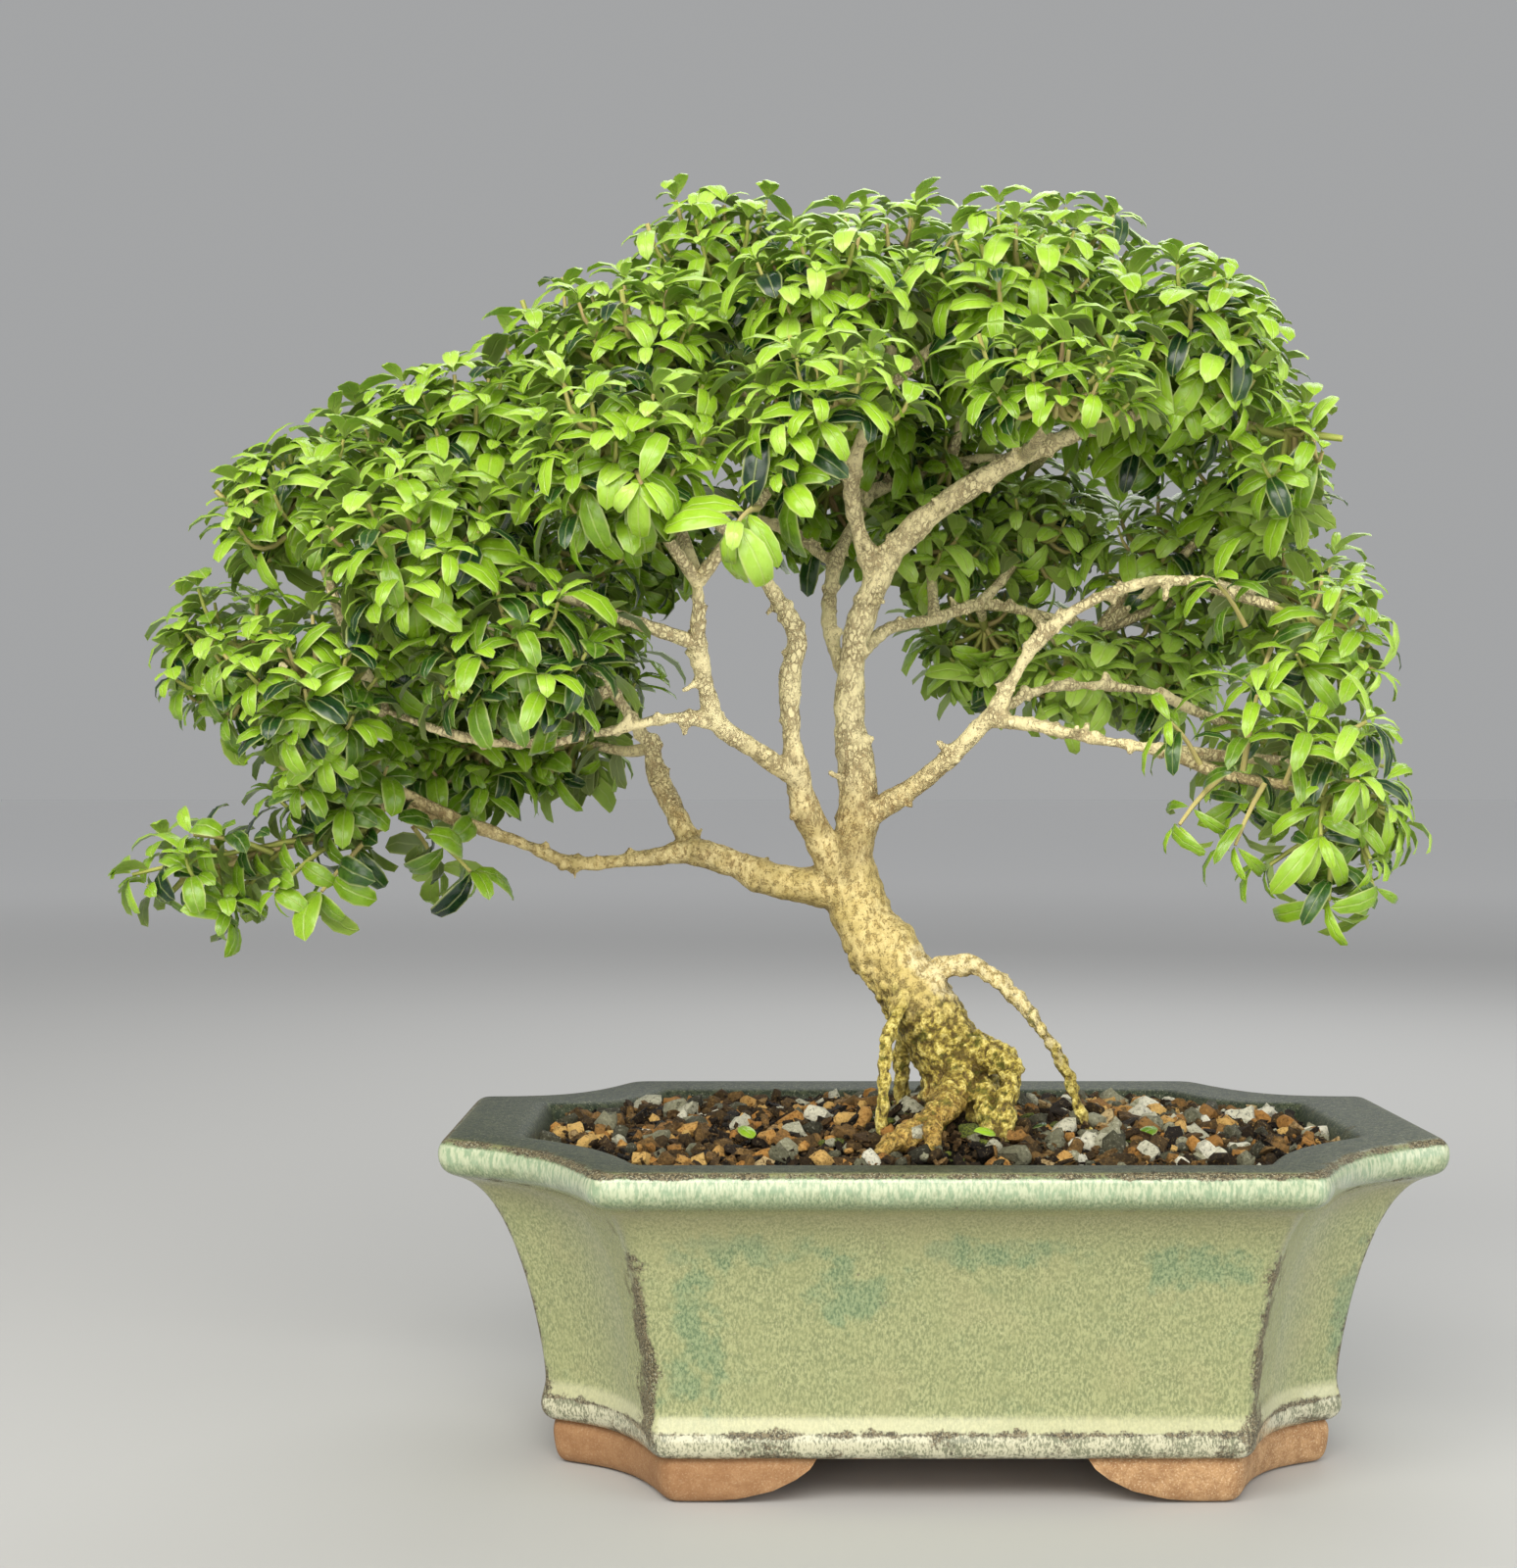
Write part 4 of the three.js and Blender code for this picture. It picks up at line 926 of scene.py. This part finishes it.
def barkPaint():
    paint = Paint("flakyTanBark")
    # how deep each point lies in a hollow, which also darkens the cracks and the lichen there as painted shade
    hollow = paint.trait("hollow")
    flake = paint.noise(0.9, 4, 0.68, (1, 1, 0.55))
    fine = paint.noise(0.3, 2, 0.6)
    knob = paint.noise(0.5, 4, 0.66)
    stained = paint.between(paint.noise(4.5, 4, 0.62), 0.4, 0.6) * paint.risen(112, 92)
    crack = paint.between(fine + (flake - 0.5) * 1.1 - hollow * 0.12, 0.4, 0.28)
    flaked = paint.risen(84, 108) * paint.between(paint.noise(6, 3, 0.6), 0.36, 0.56)
    cells = paint.net(0.85, (1, 1, 0.6), 0.9)
    rift = paint.between(cells, 0.16, 0.04) * flaked * paint.between(fine, 0.36, 0.52)
    low = paint.risen(77, 64, paint.noise(7, 3, 0.6), 24)
    lichen = paint.ramp(knob - hollow * 0.13, [(0.31, (0.06, 0.046, 0.005)), (0.42, (0.26, 0.195, 0.017)),
                                               (0.53, (0.59, 0.46, 0.062)), (0.66, (0.98, 0.86, 0.28))])
    shadePatch = paint.between(paint.noise(2.4, 4, 0.65), 0.46, 0.6)
    arch = paint.trait("bleached") * paint.risen(58, 68, flake, 14)
    bleached = paint.mix(paint.between(flake, 0.38, 0.58), (0.5, 0.38, 0.17), (0.93, 0.82, 0.5))
    rusty = paint.trait("rusty") * paint.risen(60, 53, knob, 16)
    rust = paint.mix(paint.between(knob, 0.34, 0.6), (0.13, 0.07, 0.016), (0.62, 0.35, 0.075))
    moss = low * paint.between(paint.noise(2.6, 5, 0.75) + hollow * 0.05, 0.55, 0.63)
    tan = paint.layered(
        paint.mix(paint.between(flake, 0.36, 0.6), (0.57, 0.415, 0.172), (0.89, 0.745, 0.37)),
        (paint.between(paint.noise(9, 3, 0.5), 0.48, 0.68) * 0.45, (0.64, 0.57, 0.36)),
        (stained * 0.65, (0.38, 0.285, 0.095)),
        (paint.risen(98, 116) * 0.9, (1, 0.88, 0.5)),  # painted light, palest above, on the upper trunk that the crown shades
        (crack * 0.42, (0.25, 0.15, 0.062)),
        (rift * 0.62, (0.33, 0.19, 0.075)),
        (paint.risen(100, 72, paint.noise(12, 3, 0.6), 30) * 0.5, (0.7, 0.535, 0.15)),  # golden further down
        (low * 0.85, lichen),
        # painted shade: darker in the wood's hollows, the more so on the roots
        (paint.between(hollow, 0.3, 1) * (0.3 + low * 0.45), (0.11, 0.068, 0.014)),
        # painted shade: dark patches on the roots
        (low * shadePatch * 0.5, (0.17, 0.115, 0.014)),
        (arch * 0.6, bleached),
        (rusty * 0.7, rust),
        (moss * 0.6, (0.115, 0.135, 0.01)))
    paint.relief(flake * 0.6 + fine * 0.6 + low * knob * 1.6 - crack * 0.5 - rift * 0.8, 0.35)
    return paint.finish({"Base Color": tan, "Roughness": 0.66 + fine * 0.2 - low * 0.38})


def markBark(piece, samples):
    # which points are on the rusty front roots and on the bleached arch, with soft ends, and how far each
    # lies below its neighbours, from -1 on the bumps to 1 in the hollows
    tree = nearestOf(samples)
    mesh = piece.data
    points, normals = np.empty(len(mesh.vertices) * 3), np.empty(len(mesh.vertices) * 3)
    ends = np.empty(len(mesh.edges) * 2, np.int64)
    mesh.vertices.foreach_get("co", points)
    mesh.vertices.foreach_get("normal", normals)
    mesh.edges.foreach_get("vertices", ends)
    points, normals, ends = points.reshape(-1, 3), normals.reshape(-1, 3), ends.reshape(-1, 2)
    near = np.zeros(len(points))
    np.add.at(near, ends.ravel(), 1)

    def around(values):
        total = np.zeros_like(values)
        np.add.at(total, ends[:, 0], values[ends[:, 1]])
        np.add.at(total, ends[:, 1], values[ends[:, 0]])
        return total / (near[:, None] if values.ndim > 1 else near)

    limbs = [samples[tree.find(spot)[1]][4] for spot in (points - np.array(potMiddle)) / mm]
    for mark in ("rusty", "bleached"):
        values = np.array([float(limb in woodSet[mark]) for limb in limbs])
        for _ in range(4):
            values = (values + around(values)) / 2
        setValues(mesh, mark, values)
    depth = ((around(points) - points) * normals).sum(axis=1)
    depth = (depth + around(depth)) / 2
    depth -= depth.mean()
    print("the wood's hollows spread by", round(float(depth.std() / mm), 4), "mm")
    setValues(mesh, "hollow", np.clip(depth / (depth.std() * 1.6), -1, 1))


def buildWood():
    draw = random.Random(woodSet["seed"])
    slim, (thin, thick) = woodSet["slim"], woodSet["slimRadii"]
    routes, stubs, samples = [], [], []
    for name, points in limbSet.items():
        route = []
        for x, y, z, radius in smoothRoute(points, woodSet["spacing"]):
            knob = noise.noise(Vector((x, y, z)) * 0.35) + 0.6 * noise.noise(Vector((x, y, z)) * 0.9)
            thickness = slim + (1 - slim) * min(1, max(0, (radius - thin) / (thick - thin)))
            radius = max(woodSet["least"], radius * thickness * (1 + woodSet["gnarl"] * knob) - 0.08)
            route.append((x, y, z, radius))
            samples.append((x, y, z, radius, name))
        routes.append(route)
    above = [sample for sample in samples if sample[2] > 88 and not sample[4].startswith("root")]
    for i in range(woodSet["knots"] + woodSet["cutTwigs"]):  # small leaf scars and a few cut twigs
        x, y, z, radius, _ = draw.choice(above)
        side = Vector((draw.uniform(-1, 1), draw.uniform(-1, 1), draw.uniform(-0.8, 1.2))).normalized()
        cutTwig = i >= woodSet["knots"]
        foot = Vector((x, y, z)) + side * (radius * 0.5)
        end = foot + side * (radius * 0.5 + (draw.uniform(1.2, 2.8) if cutTwig else draw.uniform(0.35, 0.9)))
        stubs.append([(*foot, 0.75), (*end, draw.uniform(0.42, 0.6))])
    wood = tubes(routes + stubs, 5)
    modified(wood, "REMESH", mode="VOXEL", voxel_size=woodSet["voxel"] * mm)
    roots = wood.vertex_groups.new(name="roots")
    top = place(0, 0, woodSet["rootTop"]).z
    roots.add([vertex.index for vertex in wood.data.vertices if vertex.co.z < top], 1, "REPLACE")
    for name, (size, depth, group) in woodSet["reliefs"].items():
        cloud = bpy.data.textures.new(name, "CLOUDS")
        cloud.noise_scale = size * mm
        cloud.noise_depth = 2
        modified(wood, "DISPLACE", texture=cloud, texture_coords="LOCAL", strength=depth * mm, mid_level=0.56,
                 vertex_group=group)
    wood.vertex_groups.clear()
    markBark(wood, samples)
    twigs = []
    for part in sprayParts():
        start, tip, _, along = twigRoute(*part)
        bend = Vector((draw.uniform(-1, 1), draw.uniform(-1, 1), draw.uniform(-1.5, 0.2)))
        halfway = (start + tip) / 2 + bend * (0.04 * (tip - start).length)
        knots = (start, halfway, tip, tip + along * 0.6)
        points = [(*knot, radius) for knot, radius in zip(knots, woodSet["twig"])]
        twigs.append([(x, y, z, radius * (1 + 0.18 * noise.noise(Vector((x, y, z)) * 0.8)))
                      for x, y, z, radius in smoothRoute(points, 1.6)])
    wood = joined([wood, tubes(twigs, 2)])
    settle(wood, "gnarledWood", barkPaint(), ["tree_wood"], angle=75)
    print("the wood has", len(wood.data.polygons), "faces")
    return samples


woodSamples = buildWood()


# The leaves

leafSet = {
    # the leaf's share of its length and its half width there, from the stalk to the tip
    "outline": [(0, 0), (0.14, 0.5), (0.37, 0.95), (0.64, 1), (0.885, 0.69), (1, 0)],
    "length": (7, 11.6), "width": (0.3, 0.41), "thickness": 0.22, "bend": (1.4, 2.5), "fold": (0.25, 0.6),
    # how many shoots a spray has, and a tuft that reaches less far than this to each side
    "shoots": 24, "tuftShoots": 15, "tuftReach": 12.5, "nodeGap": 3.1, "twigGap": 3.4, "seed": 3,
    # the middle that the crown faces away from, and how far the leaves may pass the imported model's box
    "middle": (-15, 0, 128), "room": 0.018,
    # how far leaves keep from limbs above this radius, and how far in or out of the crown's line they end
    "clearance": 1.4, "thickLimb": 1.7, "slack": (0.975, 1.06),
    # how much larger than the crown, in hundredths, the space for shoots' ends and for leaves' middles is
    "shootMargin": -4.5, "leafMargin": 20,
    # how much of its spray's reach a shoot takes, its radii, and the shares of old leaves and clipped shoots
    "stretch": (0.6, 0.9), "shootRadii": (0.56, 0.3), "oldLeaves": 0.12, "clipped": 0.05,
}

# how many shoots the looser sprays have
looseSprays = {"low_left_tip": 5, "low_left": 15, "right_low": 12, "right_high": 12, "right_side": 11,
               "right_rear": 13, "right_shoulder": 15, "left_tip": 18, "left_front": 19}

# how long and how wide the leaves of some sprays are, as shares of the usual
leafForms = {"right_low": (1.1, 0.66), "right_high": (1, 0.74), "right_side": (1.05, 0.72),
             "right_rear": (1, 0.8), "right_shoulder": (0.95, 0.85), "left_tip": (0.86, 1.2),
             "left_front": (0.86, 1.2), "left_middle": (0.9, 1.1), "low_left": (0.86, 1.15),
             "low_left_tip": (0.86, 1.15)}

# how much paler than the rest the leaves of a spray are: painted light on the back and right sprays, which the
# crown shades, the back ones also being yellower, and painted shade on the lower left ones, where it is below
# nought
sprayToneAndLight = {"back_low": 0.56, "back_low_right": 0.56, "back_far_right": 0.3, "nape_far_right": 0.2,
              "right_rear": 0.1, "right_high": 0.04, "right_side": -0.04, "right_shoulder": 0.02,
              "left_brow": -0.1, "left_middle": -0.08, "low_left": -0.06}

# shoots that stand out from the mass: the spray, the shoot's two ends, the length of its leaves and how pale
# and young they are
standoutShoots = [
    ("low_left", (-84, 2, 98), (-74, -3, 90), 10, 0.4),
    ("low_left", (-88, 2, 98), (-97, -7, 87), 10, 0.34),
    ("low_left", (-84, 3, 97), (-81, 10, 90), 9, 0.34),
    ("low_left_tip", (-88, 1, 97), (-128, -3, 89.5), 8.5, 0.5),
    ("low_left_tip", (-104, 0, 94), (-112, 5, 86), 8, 0.36),
    ("low_left_tip", (-96, 1, 95), (-104, -8, 87), 8, 0.4),
    ("low_left_tip", (-106, -1, 93), (-117, -8, 96), 8.5, 0.44),
    ("low_left_tip", (-112, 0, 92), (-120, 6, 94), 8, 0.4),
    ("right_low", (57, -31, 98), (55, -36, 87), 10.5, 0.3),
    ("right_low", (60, -31, 98), (62, -34, 89), 11, 0.34),
    ("right_low", (59, -30, 98), (48, -29, 92), 10, 0.3),
    ("right_low", (60, -31, 101), (67, -30, 98), 9, 0.86),
    ("right_low", (55, -33, 108), (60, -38, 113), 10, 0.92),
    ("right_high", (58, -20, 124), (65, -24, 121), 9.5, 0.84),
    ("right_low", (38, -27, 107), (33, -31, 113), 9, 0.34),
    ("right_low", (41, -28, 105), (34, -32, 98), 9.5, 0.4),
    ("right_low", (44, -29, 106), (45, -34, 117), 11, 0.56),
    ("right_low", (47, -30, 104), (42, -33, 95), 9.5, 0.34),
    ("right_low", (50, -30, 104), (52, -35, 111), 10, 0.5),
    ("right_high", (46, -21, 128), (41, -25, 134), 9, 0.36),
    ("right_high", (51, -21, 127), (47, -26, 119), 9.5, 0.34),
    ("brow_middle", (-28, -46, 143), (-31, -57, 139.5), 11.5, 0.7),
    ("brow_left", (-46, -47, 149), (-44, -58, 145), 9.5, 0.58),
    ("crown_peak", (-33, -3, 190), (-37, -4, 196), 8.5, 0.6),
    ("crown_top_right", (24, 1, 188), (29, -2, 195), 8.5, 0.72),
]

# the line that the crown stays below and the line that foliage in front of the fork stays above, both as x
# and z of what is seen from the front, in the plane through the trunk
crownView = [(-133, 0), (-132, 90), (-126, 130), (-115, 154.5), (-95, 168), (-84, 176), (-62, 189),
             (-50, 198), (-37, 204), (-24, 201), (-7, 200), (16, 202), (31, 198), (43, 195), (56, 182),
             (62.5, 166), (64, 152), (67, 149), (73, 142), (75, 124), (77, 110), (78, 0)]
forkView = [(-55, 0), (-51, 112), (-40, 117), (-33, 131), (-22, 146), (-17, 160), (-9, 164), (28, 164),
            (40, 162), (46, 0)]


def leafTemplate():  # a thin lens, its upper sheet finer than its lower one, one unit long
    sheets = []
    for columns, layer in ((4, 1), (1, -1)):
        sheet = added(bpy.ops.mesh.primitive_grid_add, x_subdivisions=columns, y_subdivisions=5, size=2)
        for vertex in sheet.data.vertices:
            row = round((vertex.co.y + 1) * 2.5)
            across = vertex.co.x
            share, halfWidth = leafSet["outline"][row]
            inner = 0 < row < 5 and abs(across) < 0.9
            vertex.co = (across * halfWidth, share, layer * inner * (1 - 0.5 * abs(across)))
        sheets.append(sheet)
    leaf = joined(sheets)
    with editing(leaf):
        bpy.ops.mesh.remove_doubles(threshold=0.0001)
    faceOutwards(leaf)
    return templateOf(leaf)


leafPoints, leafFaces = leafTemplate()
leafAcross = leafPoints[:, 0] / np.maximum(np.interp(leafPoints[:, 1], *zip(*leafSet["outline"])), 0.01)
print("a leaf has", len(leafFaces), "faces")


def grownLeaf(base, heading, face, length, width, bend, fold, tone):  # its points and its marks
    side = heading.cross(face).normalized()
    face = side.cross(heading).normalized()
    heading, face, side = np.array(heading), np.array(face), np.array(side)
    angle = (bend * leafPoints[:, 1])[:, None]
    along = length * np.sin(angle) / bend
    drop = length * (1 - np.cos(angle)) / bend
    lift = face * np.cos(angle) + heading * np.sin(angle)
    half = width * length / 2
    across = (leafPoints[:, 0] * half)[:, None]
    raised = np.abs(across) * fold - across ** 2 * (fold * 1.25 / half)
    thick = (leafPoints[:, 2] * leafSet["thickness"] / 2 * mm)[:, None]
    points = np.array(base) + heading * along - face * drop + side * across + lift * (raised + thick)
    under = 0.5 - 0.5 * np.sign(leafPoints[:, 2])
    marks = np.column_stack([0.5 + 0.5 * leafAcross, leafPoints[:, 1], np.full(len(points), tone), under])
    return points, marks


def leafPaint():
    paint = Paint("boxwoodLeaf")
    across = paint.maths("ABSOLUTE", paint.trait("marks", "Red") * 2 - 1)
    along, tone = paint.trait("marks", "Green"), paint.trait("marks", "Blue")
    under = paint.node("ShaderNodeAttribute", {"attribute_name": "marks"}, {}, "Alpha")
    stem = paint.trait("stem")
    mottle = paint.noise(2, 3, 0.6)
    green = paint.ramp(tone + (mottle - 0.5) * 0.25, [
        (0, (0.005, 0.024, 0.009)), (0.2, (0.026, 0.078, 0.009)), (0.45, (0.205, 0.37, 0.017)),
        (0.72, (0.29, 0.495, 0.024)), (1, (0.4, 0.62, 0.085))])
    vein = paint.between(across, 0.12, 0.02)
    pale = paint.mix(0.6, green, (0.56, 0.62, 0.24))
    green = paint.layered(green, (vein * 0.45, pale), (paint.between(across, 0.78, 0.98) * 0.8, pale))
    sideVeins = paint.maths("SINE", along * 26 - across * 7)
    green = paint.mix(paint.between(under, 0.42, 0.49), green, paint.mix(0.5, green, (0.3, 0.37, 0.11)))
    shoot = paint.ramp(stem + (mottle - 0.5) * 0.4, [
        (0, (0.32, 0.42, 0.07)), (0.45, (0.46, 0.45, 0.12)),
        (0.75, (0.52, 0.4, 0.18)), (1, (0.4, 0.27, 0.13))])
    isStem = paint.between(stem, 0.02, 0.06)
    paint.relief((sideVeins * 0.1 - vein * 0.5) * (1 - isStem) + mottle * 0.3, 0.12)
    return paint.finish({
        "Base Color": paint.mix(isStem, green, shoot),
        "Roughness": 0.2 + under * 0.25 + isStem * 0.35 + mottle * 0.14,
        "Subsurface Weight": 0.12,
        "Subsurface Radius": (0.6, 1, 0.2),
        "Subsurface Scale": 0.0012,
    })


def curved(start, control, end, nodes):  # nodes that stand closer together towards the shoot's end
    shares = [(i / nodes) ** 0.85 for i in range(nodes + 1)]
    return [start * (1 - t) ** 2 + control * (2 * t * (1 - t)) + end * t ** 2 for t in shares]


class Foliage:
    def __init__(self):
        self.draw = random.Random(leafSet["seed"])
        room = (cadHigh - cadLow) * leafSet["room"]
        self.low, self.high = np.array(cadLow - room), np.array(cadHigh + room)
        self.middle = Vector(leafSet["middle"])
        self.thick = [sample for sample in woodSamples if sample[3] > leafSet["thickLimb"]]
        self.tree = nearestOf(self.thick)

    def start(self, outward, form):  # a new piece, whose leaves are longer and wider by its form
        self.outward, self.form, self.trimmed = outward, form, True
        self.copies, self.marks, self.stems, self.stemTones = [], [], [], []

    def inView(self, spots):  # where points are seen from the front, in the plane through the trunk
        reach = -cameraSet["y"] / (spots[:, 1] - cameraSet["y"])
        return [cameraSet[axis] + (spots[:, i] - cameraSet[axis]) * reach for i, axis in ((0, "x"), (2, "z"))]

    def outside(self, x, z, spread):  # beyond the crown's outline, taken that much larger round its middle
        x, z = self.middle.x + (x - self.middle.x) / spread, self.middle.z + (z - self.middle.z) / spread
        return (z > np.interp(x, *zip(*crownView), left=0, right=0)).any()

    def blocked(self, spot, margin=0):  # in the wood, outside the crown, or in front of the fork
        _, nearest, gap = self.tree.find(spot)
        if gap < self.thick[nearest][3] + leafSet["clearance"]:
            return True
        x, z = self.inView(np.array([spot]))
        if self.outside(x, z, 1 + margin / 100):
            return True
        return self.trimmed and spot.y < 2 and (z < np.interp(x, *zip(*forkView), left=0, right=0)).any()

    def addLeaf(self, base, heading, face, size, tone):
        draw = self.draw
        width, bend, fold = (draw.uniform(*leafSet[name]) for name in ("width", "bend", "fold"))
        points, marks = grownLeaf(place(*base), heading, face, size * mm, width * self.form[1], bend, fold,
                                  min(1, max(0, tone)))
        if (points < self.low).any() or (points > self.high).any():
            return
        x, z = self.inView((points - np.array(potMiddle)) / mm)
        if self.trimmed and self.outside(x, z, draw.uniform(*leafSet["slack"])):
            return
        if self.blocked(base + heading * size * 0.5, leafSet["leafMargin"]):
            return
        self.copies.append((points, leafFaces))
        self.marks.append(marks)

    def addShoot(self, route, tone, size=None):  # leaves in pairs, each turned a quarter from the last
        draw, nodes = self.draw, len(route) - 1
        spin = draw.uniform(-0.8, 0.8)
        for i in range(1, nodes + 1):
            heading = (route[i] - route[i - 1]).normalized()
            level = heading.cross(up)
            level = level.normalized() if level.length > 0.2 else Vector((1, 0, 0))
            for young in range(2 if i == nodes else 1):
                twist = spin + (i + young) * (math.pi / 2) + draw.uniform(-0.25, 0.25)
                across = Matrix.Rotation(twist, 3, heading) @ level
                for sign in (-1, 1):
                    opening = draw.uniform(0.68, 1.02) - 0.22 * i / nodes - 0.28 * young
                    opening += 0.3 if size else 0
                    leafHeading = heading * math.cos(opening) + across * (sign * math.sin(opening))
                    leafHeading = (leafHeading + up * draw.uniform(-0.05, 0.4)).normalized()
                    sideways = Vector((draw.uniform(-0.3, 0.3), draw.uniform(-0.3, 0.3), 0))
                    face = heading * 0.8 + up * 0.8 + sideways
                    length = size or draw.uniform(*leafSet["length"]) * self.form[0]
                    length *= 0.9 + 0.12 * i / nodes
                    length *= draw.uniform(0.55, 0.85) if young else draw.uniform(0.85, 1.1)
                    if not size:
                        length *= 1 - 0.2 * max(0, leafHeading.dot(self.outward))
                    base = route[i] + leafHeading * 0.4
                    # paler towards the shoot's young end, and darker at its inner nodes, partly as painted
                    # shade deep in the crown
                    shade = tone - 0.02 + 0.3 * (i / nodes) ** 2 + 0.12 * young + draw.uniform(-0.17, 0.17)
                    if not young and draw.random() < leafSet["oldLeaves"]:
                        shade = draw.uniform(0, 0.15)
                    self.addLeaf(base, leafHeading, face, length, shade)

    def addStem(self, route, thick, thin, tone):
        last = len(route) - 1
        self.stems.append([(*spot, thick + (thin - thick) * i / last) for i, spot in enumerate(route)])
        self.stemTones.append(tone)

    def addSpray(self, part, shoots, paler):
        draw, outward = self.draw, self.outward
        start, tip, centre, along = twigRoute(*part)
        reach = part[3]
        inner = centre + along * (0.25 * reach[0])
        self.addStem([tip, (tip + centre) / 2 + Vector((0, 0, -0.6)), centre, inner], 0.8, 0.5, 0.95)
        sprayTone = paler + draw.uniform(-0.08, 0.08)
        for k in range(shoots):
            level = 1 - (2 * k + 1) / shoots
            flat, turn = math.sqrt(1 - level ** 2), k * goldenAngle + centre.x
            direction = Vector((math.cos(turn) * flat, math.sin(turn) * flat, level))
            if direction.dot(-along) > 0.86:
                continue
            begin = tip.lerp(inner, 0.25 + 0.7 * (0.5 + 0.5 * direction.dot(along)))
            direction = (direction + outward * 0.15).normalized()
            stretch = draw.uniform(*leafSet["stretch"])
            end = centre + Vector([direction[i] * reach[i] * stretch for i in range(3)])
            for _ in range(5):  # drawn in from the crown's outline
                if self.blocked(end, leafSet["shootMargin"]):
                    end = centre.lerp(end, 0.84)
            if self.blocked(end):
                continue
            aim = direction * 0.5 + outward * 0.1 + up * draw.uniform(0.6, 1.3)  # shoots turn up
            if part[0] == "rightLow":
                aim = direction + outward * 0.5 - up * 0.35
            aim = aim.normalized()
            control = end - aim * (0.55 * (end - begin).length + 1.5)
            nodes = max(3, round(((control - begin).length + (end - control).length) / leafSet["nodeGap"]))
            route = curved(begin, control, end, nodes)
            self.addStem(route, *leafSet["shootRadii"], draw.uniform(0.25, 0.7))
            if draw.random() < leafSet["clipped"] and not self.blocked(end, leafSet["shootMargin"]):
                self.addStem([end, end + aim * 1.6, end + aim * draw.uniform(2.6, 4.2)], 0.36, 0.42, 0.9)
            # paler the further out the shoot ends and the more its spray faces up: painted light, and partly
            # the paler young growth outside
            out = min(1, max(0, (end - self.middle).dot(outward) / 70))
            shootTone = 0.16 + 0.24 * out + 0.16 * max(0, outward.z) + sprayTone
            self.addShoot(route, shootTone + draw.uniform(-0.1, 0.1))
        steps = round((tip - start).length * 0.66 / leafSet["twigGap"])
        if steps > 1:  # older leaves along the twig
            foot = start.lerp(tip, 0.34)
            self.addShoot([foot.lerp(tip, i / steps) for i in range(steps + 1)], 0.14 + sprayTone)

    def finish(self, name, material):
        leaves = fromCopies("leaves", self.copies, self.marks)
        onlySelect(leaves)
        bpy.ops.object.shade_smooth_by_angle(angle=math.radians(75))
        twigs = tubes(self.stems, 0)
        sides = len(twigs.data.vertices) // sum(len(route) for route in self.stems)
        tones = [tone for route, tone in zip(self.stems, self.stemTones) for _ in range(sides * len(route))]
        tones += [0.6] * (len(twigs.data.vertices) - len(tones))
        setValues(twigs.data, "stem", tones)
        return settle(joined([leaves, twigs]), "foliage_" + name, material, ["spray_" + name])


def buildFoliage():
    foliage, material = Foliage(), leafPaint()
    leafCount = faceCount = 0
    for name, (_, _, middle, _) in spraySet.items():
        foliage.start((Vector(middle) - foliage.middle).normalized(), leafForms.get(name, (1, 1)))
        for part in sprayParts(name):
            usual = leafSet["shoots" if part[3][0] > leafSet["tuftReach"] else "tuftShoots"]
            foliage.addSpray(part, looseSprays.get(name, usual), sprayToneAndLight.get(name, 0))
        foliage.trimmed = False
        for spray, begin, end, size, tone in standoutShoots:
            if spray == name:
                begin, end = Vector(begin), Vector(end)
                control = (begin + end) / 2 + Vector((0, 0, 1.2))
                route = curved(begin, control, end, max(3, round((end - begin).length / leafSet["twigGap"])))
                foliage.addStem(route, 0.55, 0.32, 0.3)
                foliage.addShoot(route, tone - 0.15, size)
        leafCount += len(foliage.copies)
        faceCount += len(foliage.finish(name, material).data.polygons)
    print("the crown has", leafCount, "leaves and", faceCount, "faces")
    copies, marks = [], []
    for x, y, turn, length, tone in soilSet["leaves"]:
        base = place(x, y, soilHeight(x, y) + 2.3)
        heading = Vector((math.cos(turn), math.sin(turn), 0.1)).normalized()
        face = up - Vector((0, 0.8, 0))
        points, mark = grownLeaf(base, heading, face, length * mm, *soilSet["leafForm"], tone)
        copies.append((points, leafFaces))
        marks.append(mark)
    settle(fromCopies("fallenLeaves", copies, marks), "fallenLeaves", material, angle=75)


buildFoliage()
